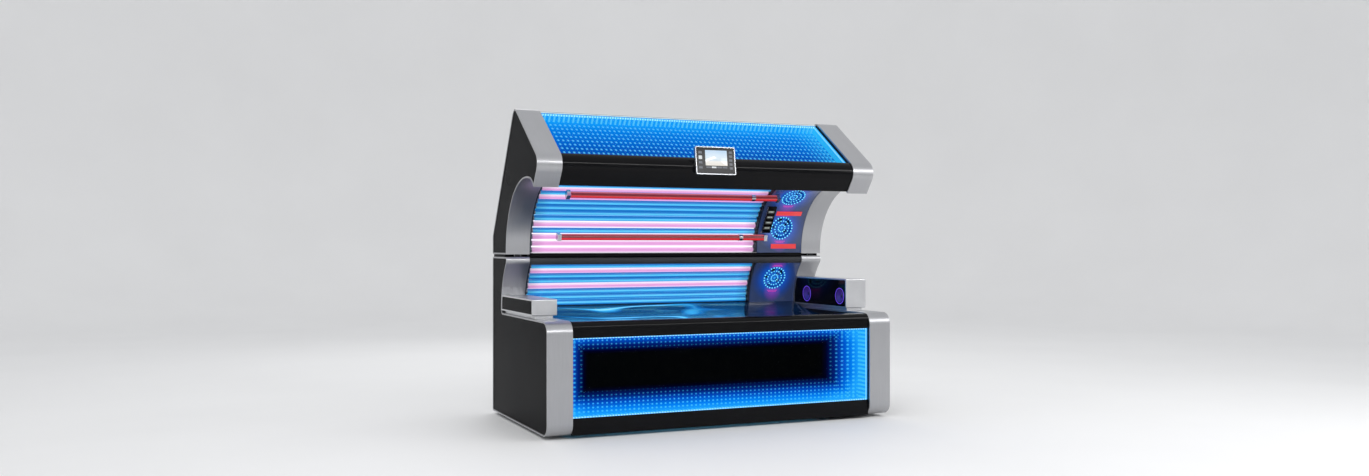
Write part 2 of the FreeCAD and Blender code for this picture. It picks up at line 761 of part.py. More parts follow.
CANOPY_ARCS = {0: ("tunnel_radius", 1), 1: ("cusp_radius", 1)}
lower_outline = outline("lower_cheek_outline", LOWER_CORNERS, LOWER_ARCS)
canopy_outline = outline("canopy_cheek_outline", CANOPY_CORNERS, CANOPY_ARCS)
lower_plate_outline = inset("lower_plate_outline", lower_outline, "band_thickness + seat_gap")
canopy_plate_outline = inset("canopy_plate_outline", canopy_outline, "band_thickness + seat_gap")
lower_cover_outer = inset("lower_cover_outer", lower_outline, "cover_recess")
lower_cover_inner = inset("lower_cover_inner", lower_outline, "cover_recess + sheet_thickness")
lower_core_outline = inset("lower_core_outline", lower_outline,
                           "cover_recess + sheet_thickness + seat_gap")
canopy_cover_outer = inset("canopy_cover_outer", canopy_outline, "cover_recess")
canopy_cover_inner = inset("canopy_cover_inner", canopy_outline, "cover_recess + sheet_thickness")
visor_rim_inner = inset("visor_rim_inner", canopy_outline, "cover_recess + visor_rim_thickness")
canopy_core_outline = inset("canopy_core_outline", canopy_outline,
                            "cover_recess + visor_rim_thickness + seat_gap")
SIDES = (("left", "-half_length", "-1"), ("right", "cheek_inner", "1"))


# ---------------------------------------------------------------- cheeks
def knuckle_notch(name, side, low, high):
    """Clears the hinge knuckles where the band closes over them."""
    reach = "knuckle_radius + knuckle_clearance"
    return box(name, f"{side} * hinge_side - hinge_half - hinge_pin_head - knuckle_clearance",
               f"hinge_y - {reach}", low,
               "2 * (hinge_half + hinge_pin_head + knuckle_clearance)", f"2 * ({reach})",
               f"{high} - ({low})")


def cheek_band(name, corners, arcs, start, notch):
    """The metal band that wraps the whole outline of a cheek, one thickness deep."""
    body = polygon_body(name + "_loop", corners, arcs, start, "cheek_width")
    doc.recompute()
    ends = [f"Face{i}" for i, face in enumerate(body.Shape.Faces, 1)
            if face.BoundBox.XLength < 1e-6]
    loop = body.Tip
    hollow = body.newObject("PartDesign::Thickness", name + "_hollow")
    hollow.Base = (loop, ends)
    hollow.Join = "Intersection"
    hollow.Reversed = True
    bind(hollow, Value="band_thickness")
    subpart(cut(name, body, [notch]), name)


def side_panel(name, profile, start):
    """The flat panel inside the band, a little below its outer edge."""
    subpart(extrude(name, profile, start, "panel_thickness"), name)


for side, start, sign in SIDES:
    panel_start = ("-half_length + panel_inset" if side == "left"
                   else "half_length - panel_inset - panel_thickness")
    cheek_band(f"{side}_lower_band", LOWER_CORNERS, LOWER_ARCS, start,
               knuckle_notch(f"{side}_lower_notch", sign, "split_height - band_thickness - 6",
                             "split_height + 5"))
    cheek_band(f"{side}_canopy_band", CANOPY_CORNERS, CANOPY_ARCS, start,
               knuckle_notch(f"{side}_canopy_notch", sign, "canopy_floor - 5",
                             "canopy_floor + band_thickness + 6"))
    side_panel(f"{side}_lower_side_panel", lower_plate_outline, panel_start)
    side_panel(f"{side}_canopy_side_panel", canopy_plate_outline, panel_start)


# ---------------------------------------------------------------- hinge and frames
def knuckle(name, side, inner, outer):
    """One barrel of the hinge, between two distances from its middle."""
    return rod(name, X_AXIS, f"{side} * hinge_side + ({inner})", "hinge_y", "hinge_z",
               "knuckle_radius", f"{outer} - ({inner})")


def hinge_bore(name, side):
    return rod(name, X_AXIS, f"{side} * hinge_side - hinge_half - 1", "hinge_y", "hinge_z",
               "hinge_pin_radius + seat_gap", "2 * hinge_half + 2")


def lower_hinge(side, sign):
    """Two barrels on lugs that reach back to the post inside the cheek."""
    gap = "canopy_knuckle_half + seat_gap"
    parts = []
    for place, inner, outer in (("a", "-hinge_half", f"-({gap})"), ("b", gap, "hinge_half")):
        name = f"{side}_lower_lug_{place}"
        parts.append(knuckle(name + "_barrel", sign, inner, outer))
        x = f"{sign} * hinge_side + ({inner})"
        width = f"{outer} - ({inner})"
        parts.append(box(name + "_neck", x, "hinge_y - lug_depth / 4", "hinge_z - lug_drop",
                         width, "lug_depth", "lug_drop"))
        parts.append(box(name + "_foot", x, "hinge_y - lug_depth / 5", "hinge_z - lug_drop",
                         width, "lower_post_y + 2 - hinge_y + lug_depth / 5",
                         "lug_foot_height"))
    return parts


def canopy_hinge(side, sign):
    """The middle barrel, on a lug that reaches back to the canopy's post."""
    name = f"{side}_canopy_lug"
    x = f"{sign} * hinge_side - canopy_knuckle_half"
    width = "2 * canopy_knuckle_half"
    return [
        knuckle(name + "_barrel", sign, "-canopy_knuckle_half", "canopy_knuckle_half"),
        box(name + "_neck", x, "hinge_y", "hinge_z", width, "lug_depth * 3 / 4",
            "canopy_lug_rise"),
        box(name + "_foot", x, "hinge_y", "hinge_z + canopy_lug_rise - lug_foot_height", width,
            "post_y + 2 - hinge_y", "lug_foot_height"),
    ]


def post(name, sign, y, low, high):
    return box(name, f"{sign} * hinge_side - post_width / 2", y, low,
               "post_width", "post_depth", f"{high} - ({low})")


def gusset(name, side, y, level):
    """A flat bar between an end plate and the post inside the cheek."""
    x = "-hinge_side" if side == "left" else "cheek_inner + end_plate_thickness / 2"
    return box(name, x, y, level, "hinge_side - cheek_inner - end_plate_thickness / 2",
               "post_depth", "gusset_thickness")


def end_plate(name, side, profile):
    start = "-cheek_inner - end_plate_thickness" if side == "left" else "cheek_inner"
    return extrude(name, profile, start, "end_plate_thickness")


def tube(name, y, z, width, height):
    """A square tube between the end plates, and the hollow that is cut through it."""
    outer = box(name, "-cheek_inner - 1", y, z, "2 * cheek_inner + 2", width, height)
    hollow = box(name + "_hollow", "-half_length", f"{y} + rail_wall", f"{z} + rail_wall",
                 "2 * half_length", f"{width} - 2 * rail_wall", f"{height} - 2 * rail_wall")
    return outer, hollow


def bulkhead(name, profile, cuts):
    """The plate that carries the lamps' head ends, between the end plates."""
    plate = extrude(name + "_plate", profile, "bulkhead_start",
                    "head_panel_start - seat_gap - bulkhead_start")
    return cut(name, plate, cuts)


def lower_bulkhead():
    start = "bulkhead_start - 1"
    clear = "head_panel_start - bulkhead_start + 2"
    bed = doc.addObject("Part::Cylinder", "bulkhead_bench_cut")
    bed.Placement.Rotation = YZ
    bind(bed, x=start, y="bench_y", z="bench_z", Height=clear,
         Radius="bench_lamp_circle + lamp_radius + reflector_gap + reflector_thickness + seat_gap")
    front = box("bulkhead_front_cut", start, "front_y - 1", "0", clear,
                "window_back - front_y + tray_depth + 2", "bench_top + 10")
    return bulkhead("lower_bulkhead", lower_core_outline, [bed, front])


def canopy_bulkhead():
    tray = slope_box("bulkhead_tray_cut", "bulkhead_start - 1", "visor_window_start - 1",
                     "visor_tray_floor + 1", "head_panel_start - bulkhead_start + 2",
                     "visor_window_end - visor_window_start + 2", "visor_tray_floor + 2")
    return bulkhead("canopy_bulkhead", canopy_core_outline, [tray])


def base_frame():
    """Welded frame: end plates, hollow rails, cross members, posts and the hinge lugs."""
    rails = [
        tube("front_rail", "front_rail_y", "rail_floor", "rail_width", "rail_height"),
        tube("rear_rail", "rear_rail_y", "rail_floor", "rail_width", "rail_height"),
        tube("top_beam", "wall_y + top_beam_reach", "beam_z", "beam_size", "beam_size"),
    ]
    parts = [outer for outer, _ in rails] + [lower_bulkhead()]
    hollows = [hollow for _, hollow in rails]
    for place, x in (("foot", "-foot_side"), ("middle", "0"), ("head", "foot_side")):
        parts.append(box(f"{place}_cross_member", f"{x} - rail_width / 2",
                         "front_rail_y + rail_width - 1", "rail_top - 20", "rail_width",
                         "rear_rail_y - front_rail_y - rail_width + 2", 20))
    for side, _, sign in SIDES:
        parts.append(end_plate(f"{side}_lower_end_plate", side, lower_plate_outline))
        parts.append(post(f"{side}_lower_post", sign, "lower_post_y",
                          "cheek_lift + band_thickness + seat_gap",
                          "split_height - band_thickness - 2"))
        for level in ("low", "high"):
            parts.append(gusset(f"{side}_lower_gusset_{level}", side, "lower_post_y",
                                f"lower_gusset_{level}"))
        parts += lower_hinge(side, sign)
        hollows.append(hinge_bore(f"{side}_lower_bore", sign))
    subpart(cut("base_frame", fuse("base_frame_bars", parts), hollows), "base_frame")


def lever(side, sign):
    """The canopy's lift lever: its slot takes the pin of the lift rod."""
    start = f"{sign} * lift_side - lever_thickness / 2"
    corners = [("heel_y", "heel_z"), ("toe_y", "toe_z"), ("heel_top_y", "heel_top_z"),
               ("lever_end_y", "lever_top_z"), ("lever_root_y", "lever_top_z")]
    plate = polygon_body(f"{side}_lever", corners, {}, start, "lever_thickness")
    reach = "lever_thickness + 2"
    ends = [rod(f"{side}_lever_slot_{place}", X_AXIS, f"{start} - 1",
                f"hinge_y + {distance} * tilt_cos", f"hinge_z - {distance} * tilt_sin",
                "slot_radius", reach)
            for place, distance in (("near", "lift_arm"), ("far", "slot_end"))]
    middle = box(f"{side}_lever_slot_middle", f"{start} - 1",
                 "hinge_y + lift_arm * tilt_cos - slot_radius * tilt_sin",
                 "hinge_z - lift_arm * tilt_sin - slot_radius * tilt_cos",
                 reach, "slot_end - lift_arm", "2 * slot_radius")
    middle.Placement.Rotation = FreeCAD.Rotation(X_AXIS, -size("lever_tilt"))
    return plate, ends + [middle]


def canopy_frame():
    """Welded canopy frame: end plates, beams, posts, hinge lugs and the lift levers."""
    beams = [
        tube("canopy_top_beam", "tunnel_y + canopy_beam_reach", "apex_z - canopy_beam_drop",
             "rail_width", "rail_width"),
        tube("visor_beam", "visor_y + visor_beam_reach", "visor_z - visor_beam_drop",
             "beam_size", "beam_size"),
    ]
    parts = [outer for outer, _ in beams] + [canopy_bulkhead()]
    cuts = [hollow for _, hollow in beams]
    parts.append(box("lever_beam", "-cheek_inner - 1", "lever_root_y", "lever_beam_z",
                     "2 * cheek_inner + 2", "lever_end - lever_root", "10"))
    for side, _, sign in SIDES:
        parts.append(end_plate(f"{side}_canopy_end_plate", side, canopy_plate_outline))
        parts.append(post(f"{side}_canopy_post", sign, "post_y",
                          "canopy_floor + band_thickness + 1",
                          "canopy_floor + canopy_post_height"))
        for level in ("low", "high"):
            parts.append(gusset(f"{side}_canopy_gusset_{level}", side, "post_y",
                                f"canopy_floor + canopy_gusset_{level}"))
        parts += canopy_hinge(side, sign)
        cuts.append(hinge_bore(f"{side}_canopy_bore", sign))
        plate, slot = lever(side, sign)
        parts.append(plate)
        cuts += slot
    subpart(cut("canopy_frame", fuse("canopy_frame_bars", parts), cuts), "canopy_frame")


def hinge_pins():
    """One pin through each knuckle, with a six-sided head and nut."""
    pins = []
    for side, _, sign in SIDES:
        left = f"{sign} * hinge_side - hinge_half - hinge_pin_head"
        right = f"{sign} * hinge_side + hinge_half"
        shank = rod(f"{side}_pin_shank", X_AXIS, left, "hinge_y", "hinge_z",
                    "hinge_pin_radius", "2 * (hinge_half + hinge_pin_head)")
        ends = [prism(f"{side}_pin_{part}", 6, x, "hinge_y", "hinge_z",
                      "hinge_pin_radius * 1.5", "hinge_pin_head - seat_gap")
                for part, x in (("head", left), ("nut", f"{right} + seat_gap"))]
        for end in ends:
            end.Placement.Rotation = FreeCAD.Rotation(Z_AXIS, X_AXIS)
        pins.append(fuse(f"{side}_hinge_pin", [shank] + ends))
    subpart(group("hinge_pins", pins), "hinge_pins")


def lift_columns():
    """Two lifting columns: a tube on a gear motor, bored for its rod."""
    columns = []
    for side, _, sign in SIDES:
        x = f"{sign} * lift_side"
        bars = fuse(f"{side}_column_bars", [
            rod(f"{side}_column_tube", Z_AXIS, x, "lift_y", "rail_top", "column_radius",
                "column_top - rail_top"),
            box(f"{side}_column_motor", f"{x} - motor_length / 2", "rear_rail_y", "rail_top",
                "motor_length", "rail_width", "motor_height"),
        ])
        bore = rod(f"{side}_column_bore", Z_AXIS, x, "lift_y",
                   "column_top - rod_overlap - column_floor_gap", "rod_radius + seat_gap",
                   "rod_overlap + column_floor_gap + 1")
        columns.append(cut(f"{side}_column", bars, [bore]))
    subpart(group("lift_columns", columns), "lift_columns")


def lift_rod(side, sign):
    """A lift rod with a fork and the pin that runs in the lever's slot."""
    x = f"{sign} * lift_side"
    half = "lever_thickness / 2 + fork_gap + fork_ear"
    inner = "lever_thickness / 2 + fork_gap"
    name = f"{side}_lift_rod"
    low = "lift_pin_z - fork_throat - fork_base"
    parts = [
        rod(name + "_shaft", Z_AXIS, x, "lift_y", "column_top - rod_overlap", "rod_radius",
            f"{low} - column_top + rod_overlap + 1"),
        box(name + "_base", f"{x} - ({half})", "lift_y - fork_half", low,
            f"2 * ({half})", "2 * fork_half", "fork_base"),
        rod(name + "_pin", X_AXIS, f"{x} - ({half})", "lift_y", "lift_pin_z",
            "lift_pin_radius", f"2 * ({half})"),
    ]
    for place, start in (("inner", f"{x} - ({half})"), ("outer", f"{x} + {inner}")):
        parts.append(box(f"{name}_ear_{place}", start, "lift_y - fork_half",
                         "lift_pin_z - fork_throat - 1", "fork_ear", "2 * fork_half",
                         "fork_throat + 1"))
        parts.append(rod(f"{name}_ear_top_{place}", X_AXIS, start, "lift_y", "lift_pin_z",
                         "fork_half", "fork_ear"))
    subpart(fuse(name, parts), name)


def levelling_feet():
    """Six feet under the rails, each a pad, a stem and a lock nut."""
    feet = []
    for i, x in enumerate(("-foot_side", "0", "foot_side")):
        for j, y in enumerate(("front_rail_y", "rear_rail_y")):
            centre = f"{y} + rail_width / 2"
            feet.append(fuse(f"foot_{i}{j}", [
                prism(f"foot_pad_{i}{j}", 12, x, centre, "0", "foot_radius",
                      "foot_pad_height"),
                prism(f"foot_stem_{i}{j}", 6, x, centre, "0", "foot_stem_radius",
                      "rail_floor"),
                prism(f"foot_nut_{i}{j}", 6, x, centre, "rail_floor - foot_nut_height",
                      "foot_nut_radius", "foot_nut_height"),
            ]))
    subpart(group("levelling_feet", feet), "levelling_feet")


base_frame()
canopy_frame()
hinge_pins()
lift_columns()
for side, _, sign in SIDES:
    lift_rod(side, sign)
levelling_feet()


# ---------------------------------------------------------------- light windows and front rim
def tray(name, outer, hollow):
    """An open sheet metal tray."""
    subpart(cut(name, outer, [hollow]), name)


def light_strips(name, place, width, height):
    """Four light strips against the walls of a tray, along the sides of its opening."""
    wall = "sheet_thickness"
    inner = f"2 * body_half - 2 * {wall}"
    upright = f"{height} - 2 * {wall} - 2 * strip_height - 2"
    strips = [
        place(name + "_low", f"-body_half + {wall}", wall, inner, "strip_height"),
        place(name + "_high", f"-body_half + {wall}", f"{height} - {wall} - strip_height",
              inner, "strip_height"),
        place(name + "_left", f"-body_half + {wall}", f"{wall} + strip_height + 1",
              "strip_height", upright),
        place(name + "_right", f"body_half - {wall} - strip_height",
              f"{wall} + strip_height + 1", "strip_height", upright),
    ]
    subpart(group(name, strips), name)


def front_window():
    """Plinth, glass, tray and light strips between the lower cheeks, and the rim above."""
    height = "window_top - window_floor"
    subpart(box("plinth", "-body_half", "window_y", "cheek_lift + 2", "2 * body_half",
                "plinth_thickness", "window_floor - seat_gap - cheek_lift - 2"), "plinth")
    subpart(box("front_glass", "-body_half", "window_y", "window_floor", "2 * body_half",
                "glass_thickness", height), "front_glass")
    tray("front_light_tray",
         box("front_tray_shell", "-body_half", "window_back", "window_floor", "2 * body_half",
             "tray_depth", height),
         box("front_tray_hollow", "-body_half + sheet_thickness", "window_back - 1",
             "window_floor + sheet_thickness", "2 * body_half - 2 * sheet_thickness",
             "tray_depth + 1 - sheet_thickness", f"{height} - 2 * sheet_thickness"))
    light_strips("front_light_strips",
                 lambda name, x, up, length, rise: box(
                     name, x, "window_back + 2", f"window_floor + {up}", length,
                     "strip_width", rise),
                 "2 * body_half", height)
    corners = [
        ("rim_front_y", "rim_floor"),
        ("rim_front_y", "rim_top", "rim_nose_radius"),
        ("rim_back_y", "rim_top", "rim_lip_radius"),
        ("rim_back_y", "rim_lip_floor"),
        ("rim_lip_y", "rim_lip_floor"),
        ("rim_lip_y", "rim_ceiling", "rim_lip_inner"),
        ("rim_face_y", "rim_ceiling", "rim_nose_inner"),
        ("rim_face_y", "rim_floor"),
    ]
    subpart(polygon_body("front_rim", corners, {}, "-body_half", "2 * body_half"), "front_rim")


def visor_window():
    """Glass, tray and light strips in the visor's slope, and the rim around its nose."""
    height = "visor_window_end - visor_window_start"
    subpart(slope_box("visor_glass", "-body_half", "visor_window_start",
                      "visor_glass_recess + glass_thickness", "2 * body_half", height,
                      "glass_thickness"), "visor_glass")
    tray("visor_light_tray",
         slope_box("visor_tray_shell", "-body_half", "visor_window_start", "visor_tray_floor",
                   "2 * body_half", height, "visor_tray_depth"),
         slope_box("visor_tray_hollow", "-body_half + sheet_thickness",
                   "visor_window_start + sheet_thickness", "visor_tray_floor - sheet_thickness",
                   "2 * body_half - 2 * sheet_thickness", f"{height} - 2 * sheet_thickness",
                   "visor_tray_depth"))
    light_strips("visor_light_strips",
                 lambda name, x, up, length, rise: slope_box(
                     name, x, f"visor_window_start + {up}",
                     "visor_tray_floor - visor_tray_depth + 2 + strip_width", length, rise,
                     "strip_width"),
                 "2 * body_half", height)
    loop = cut("visor_rim_loop",
               extrude("visor_rim_outside", canopy_cover_outer, "-body_half", "2 * body_half"),
               [extrude("visor_rim_inside", visor_rim_inner, "-half_length",
                        "2 * half_length")])
    behind = box("visor_rim_back_cut", "-half_length", "rim_cut_y", "0", "2 * half_length",
                 "overall_depth", "2 * apex_z")
    above = slope_box("visor_rim_window_cut", "-half_length", "visor_window_start - seat_gap",
                      "visor_tray_floor + 30", "2 * half_length", "slope_length",
                      "visor_tray_floor + 60")
    subpart(cut("visor_rim", loop, [behind, above]), "visor_rim")


# ---------------------------------------------------------------- lamps and sheets
def turned_rod(name, centre, start, radius, length):
    """A cylinder along X about the axis of a curved wall."""
    obj = doc.addObject("Part::Cylinder", name)
    obj.Placement.Rotation = YZ
    return bind(obj, x=start, y=centre + "_y", z=centre + "_z", Radius=radius, Height=length)


def row_body(name, centre, first, start):
    """A body about the axis of a curved wall, with its local Y at the first angle."""
    body = doc.addObject("PartDesign::Body", name)
    body.AllowCompound = True
    body.Placement.Rotation = FreeCAD.Rotation(X_AXIS, first)
    return bind(body, x=start, y=centre + "_y", z=centre + "_z")


def repeat(body, name, originals, total, angle):
    """A polar pattern about the body's X axis."""
    pattern = body.newObject("PartDesign::PolarPattern", name)
    pattern.Originals = originals
    pattern.Axis = (plane(body, "X_Axis"), [""])
    bind(pattern, Angle=angle, Occurrences=total)
    body.Tip = pattern
    return body


def polygon(sketch, circle, middle, radius, total):
    """An equal-sided outline inside a construction circle, its first corner on the X axis."""
    turns = [2 * math.pi / total * i for i in range(total)]
    corners = [middle + V(math.cos(turn), math.sin(turn), 0) * radius for turn in turns]
    sides = [sketch.addGeometry(Part.LineSegment(corner, corners[(i + 1) % total]))
             for i, corner in enumerate(corners)]
    for i, side in enumerate(sides):
        sketch.addConstraint(Sketcher.Constraint("Coincident", sides[i - 1], 2, side, 1))
        sketch.addConstraint(Sketcher.Constraint("PointOnObject", side, 1, circle))
        if i:
            sketch.addConstraint(Sketcher.Constraint("Equal", sides[0], side))
    sketch.addConstraint(Sketcher.Constraint("PointOnObject", sides[0], 1, -1))


def lamps(name, bank):
    """One row of lamps on a circle about the axis of a curved wall."""
    body = row_body(name, bank, size(bank + "_lamp_first_angle"), "lamp_foot_end")
    sketch = sketch_on(body, "YZ_Plane", name + "_section")
    middle = V(size(bank + "_lamp_circle"), 0, 0)
    circle = sketch.addGeometry(Part.Circle(middle, Z_AXIS, size("lamp_radius")), True)
    constrain(sketch, "DistanceX", circle, 3, to=bank + "_lamp_circle")
    sketch.addConstraint(Sketcher.Constraint("PointOnObject", circle, 3, -1))
    constrain(sketch, "Radius", circle, to="lamp_radius")
    polygon(sketch, circle, middle, size("lamp_radius"), count("lamp_sides"))
    tube_pad = pad(body, sketch, name + "_tube", "lamp_length")
    repeat(body, name + "_row", [tube_pad], bank + "_lamp_count",
           f"({bank}_lamp_count - 1) * {bank}_lamp_pitch_angle")
    return subpart(body, name)


def lamp_holders(name, banks):
    """The rails that take the lamps' foot ends and head ends."""
    rails = []
    for bank in banks:
        for place, start in (("foot", "-body_half"), ("head", "lamp_head_end")):
            rails.append(sector(f"{bank}_{place}_holder", bank, f"{bank}_holder_radius",
                                "lamp_clearance - seat_gap + 2 * lamp_radius + holder_rim",
                                bank + "_reflector_first", bank + "_reflector_last", start,
                                "lamp_holder"))
    subpart(group(name, rails), name)


def reflector(bank):
    """A bright sheet behind one bank, with a ridge between every two lamps."""
    name = bank + "_reflector"
    length = "lamp_length"
    radius = f"{bank}_lamp_circle + lamp_radius + reflector_gap"
    back = sector(name + "_sheet", bank, radius, "reflector_thickness",
                  bank + "_reflector_first", bank + "_reflector_last", "lamp_foot_end", length)
    turn = size(bank + "_lamp_first_angle") + size(bank + "_lamp_pitch_angle") / 2
    ridges = row_body(name + "_ridges", bank, turn, "lamp_foot_end")
    corners = [(bank + "_ridge_foot", bank + "_ridge_low"), (bank + "_ridge_tip", "zero"),
               (bank + "_ridge_foot", bank + "_ridge_high")]
    sketch = draw(sketch_on(ridges, "YZ_Plane", name + "_ridge_section"), corners)
    ridge = pad(ridges, sketch, name + "_ridge", length)
    repeat(ridges, name + "_ridge_row", [ridge], f"{bank}_lamp_count - 1",
           f"({bank}_lamp_count - 2) * {bank}_lamp_pitch_angle")
    return fuse(name + "_sheet_and_ridges", [back, ridges])


def acrylics():
    """The clear sheets over the lamps."""
    length = "head_panel_start - seat_gap + body_half"
    subpart(sector("canopy_acrylic", "tunnel", "tunnel_sheet_radius", "acrylic_thickness",
                   "tunnel_sheet_low_angle", "tunnel_sheet_high_angle", "-body_half", length),
            "canopy_acrylic")
    subpart(sector("wall_acrylic", "wall", "wall_sheet_radius", "acrylic_thickness",
                   "wall_sheet_low_angle", "wall_sheet_high_angle", "-body_half", length),
            "wall_acrylic")
    subpart(sector("bench_acrylic", "bench", "bench_radius", "acrylic_thickness",
                   "bench_first", "bench_last", "-body_half", "2 * body_half"),
            "bench_acrylic")


front_window()
visor_window()
lamps("canopy_lamps", "tunnel")
lamps("wall_lamps", "wall")
lamps("bench_lamps", "bench")
lamp_holders("canopy_lamp_holders", ["tunnel"])
lamp_holders("lower_lamp_holders", ["wall", "bench"])
subpart(reflector("tunnel"), "canopy_reflector")
subpart(group("lower_reflectors", [reflector("wall"), reflector("bench")]), "lower_reflectors")
acrylics()


# ---------------------------------------------------------------- fans
def ring(name, sides, radius, width, low, depth):
    """An equal-sided ring about the local Z axis."""
    return cut(name, prism(name + "_outer", sides, "0", "0", low, radius, depth),
               [prism(name + "_inner", sides, "0", "0", f"{low} - 1", f"{radius} - {width}",
                      f"{depth} + 2")])


def bars(name, total, radius, low, depth):
    """Bars across a ring, through its centre."""
    made = []
    for i in range(total):
        bar = box(f"{name}_{i}", "0", "0", low, f"2 * ({radius})", "fan_bar", depth)
        turn = 180 / total * i
        bar.Placement.Rotation = FreeCAD.Rotation(Z_AXIS, turn)
        bind(bar, x=f"fan_bar / 2 * sin({turn}) - ({radius}) * cos({turn})",
             y=f"-fan_bar / 2 * cos({turn}) - ({radius}) * sin({turn})")
        made.append(bar)
    return made


def fan_housing(name, radius):
    """Shell, spoked grille round a hexagon, rear bridge and the stub shaft of the rotor."""
    low = "-fan_depth"
    parts = [
        ring(name + "_shell", count("housing_sides"), radius, "fan_wall", low, "fan_depth"),
        ring(name + "_grille", 6, f"{radius} * grille_share", "fan_bar", "-fan_bar", "fan_bar"),
        rod(name + "_shaft", Z_AXIS, "0", "0", low, "shaft_radius",
            "fan_depth - fan_bar - fan_rotor_gap"),
        rod(name + "_motor", Z_AXIS, "0", "0", low, "fan_hub_radius", "fan_motor_depth"),
    ]
    parts += bars(name + "_grille_bar", 3, f"{radius} - fan_wall / 2", "-fan_bar", "fan_bar")
    parts += bars(name + "_spider_bar", 1, f"{radius} - fan_wall / 2", low, "fan_bar")
    return fuse(name, parts)


def fan_rotor(name, tip):
    """Hub and tapered, pitched blades about the local Z axis."""
    body = doc.addObject("PartDesign::Body", name)
    hub = sketch_on(body, "XY_Plane", name + "_hub_section")
    for radius in ("fan_hub_radius", "fan_bore"):
        circle = hub.addGeometry(Part.Circle(V(0, 0, 0), Z_AXIS, size(radius)))
        hub.addConstraint(Sketcher.Constraint("Coincident", circle, 3, -1, 1))
        constrain(hub, "Radius", circle, to=radius)
    pad(body, hub, name + "_hub", "fan_rotor_depth")
    face = sketch_on(body, "XY_Plane", name + "_blade_outline")
    face.AttachmentOffset = FreeCAD.Placement(
        V(0, 0, 0), FreeCAD.Rotation(X_AXIS, size("blade_pitch")))
    bind(face, **{"AttachmentOffset.Base.z": "(fan_rotor_depth - blade_thickness) / 2"})
    draw(face, [("blade_root", "blade_root_left"), (tip, "blade_tip_left"),
                (tip, "blade_tip_right"), ("blade_root", "blade_root_right")])
    blade = pad(body, face, name + "_blade", "blade_thickness")
    pattern = body.newObject("PartDesign::PolarPattern", name + "_blades")
    pattern.Originals = [blade]
    pattern.Axis = (plane(body, "Z_Axis"), [""])
    pattern.Angle = 360
    bind(pattern, Occurrences="fan_blade_count")
    body.Tip = pattern
    return body


def move_local(obj, distance):
    """Shift an object along its own local Z."""
    place = obj.Placement
    obj.Placement = FreeCAD.Placement(place.Base + place.Rotation.multVec(V(0, 0, distance)),
                                      place.Rotation)
    return obj


def rotor_floor():
    return -(size("fan_bar") + size("fan_rotor_gap") + size("fan_rotor_depth"))


def wall_fan(name, wall, angle):
    """A round fan in a curved wall: its housing, and its rotor as a sub-part."""
    distance = size(wall + "_sheet_radius") - size("head_panel_proud")
    housing = face_centre(fan_housing(name, "fan_radius"), wall, "fan_x", distance, angle)
    rotor = face_centre(fan_rotor(name + "_rotor", "fan_tip"), wall, "fan_x", distance, angle)
    subpart(move_local(rotor, rotor_floor()), name + "_rotor")
    return housing


def head_panel(name, wall, first, last, fans):
    """The curved panel beyond the lamps, with a round hole for each fan."""
    panel = sector(name + "_sheet", wall, wall + "_sheet_radius", "acrylic_thickness", first,
                   last, "head_panel_start", "body_half - head_panel_start")
    holes = []
    for i, angle in enumerate(fans):
        hole = bind(doc.addObject("Part::Cylinder", f"{name}_hole_{i}"),
                    Radius="fan_radius + seat_gap", Height="60")
        distance = size(wall + "_sheet_radius") + 30
        holes.append(face_centre(hole, wall, "fan_x", distance, angle))
    subpart(cut(name, panel, holes), name)


def cooling_fan():
    """The fan behind the lower rear cover that cools the ballasts."""
    turn = FreeCAD.Rotation(X_AXIS, -90)
    centre = V(0, size("rear_y") - size("cover_recess"), size("cooling_fan_z"))
    housing = fan_housing("cooling_fan_housing", "cooling_fan_radius")
    rotor = fan_rotor("cooling_fan_rotor", "cooling_fan_tip")
    housing.Placement = FreeCAD.Placement(centre, turn)
    rotor.Placement = FreeCAD.Placement(centre, turn)
    subpart(housing, "cooling_fan_housing")
    subpart(move_local(rotor, rotor_floor()), "cooling_fan_rotor")


head_panel("canopy_head_panel", "tunnel", "tunnel_sheet_low_angle", "tunnel_sheet_high_angle",
           ["fan_low_angle", "fan_high_angle"])
head_panel("wall_head_panel", "wall", "wall_sheet_low_angle", "wall_sheet_high_angle",
           ["wall_fan_angle"])
subpart(group("canopy_fan_housings", [
    wall_fan("canopy_low_fan", "tunnel", "fan_low_angle"),
    wall_fan("canopy_high_fan", "tunnel", "fan_high_angle"),
]), "canopy_fan_housings")
subpart(wall_fan("wall_fan", "wall", "wall_fan_angle"), "wall_fan_housing")
cooling_fan()


# ---------------------------------------------------------------- keypad and red light
def across(name, wall, x, distance, angle, box_sizes):
    """A box laid across a radius of a curved wall: low corner and sizes in local terms."""
    obj = doc.addObject("Part::Box", name)
    left, low, floor, width, length, height = box_sizes
    bind(obj, Length=width, Width=length, Height=height)
    face_centre(obj, wall, x, distance, angle)
    place = obj.Placement
    shift = V(left, low, floor)
    obj.Placement = FreeCAD.Placement(place.Base + place.Rotation.multVec(shift),
                                      place.Rotation)
    return obj


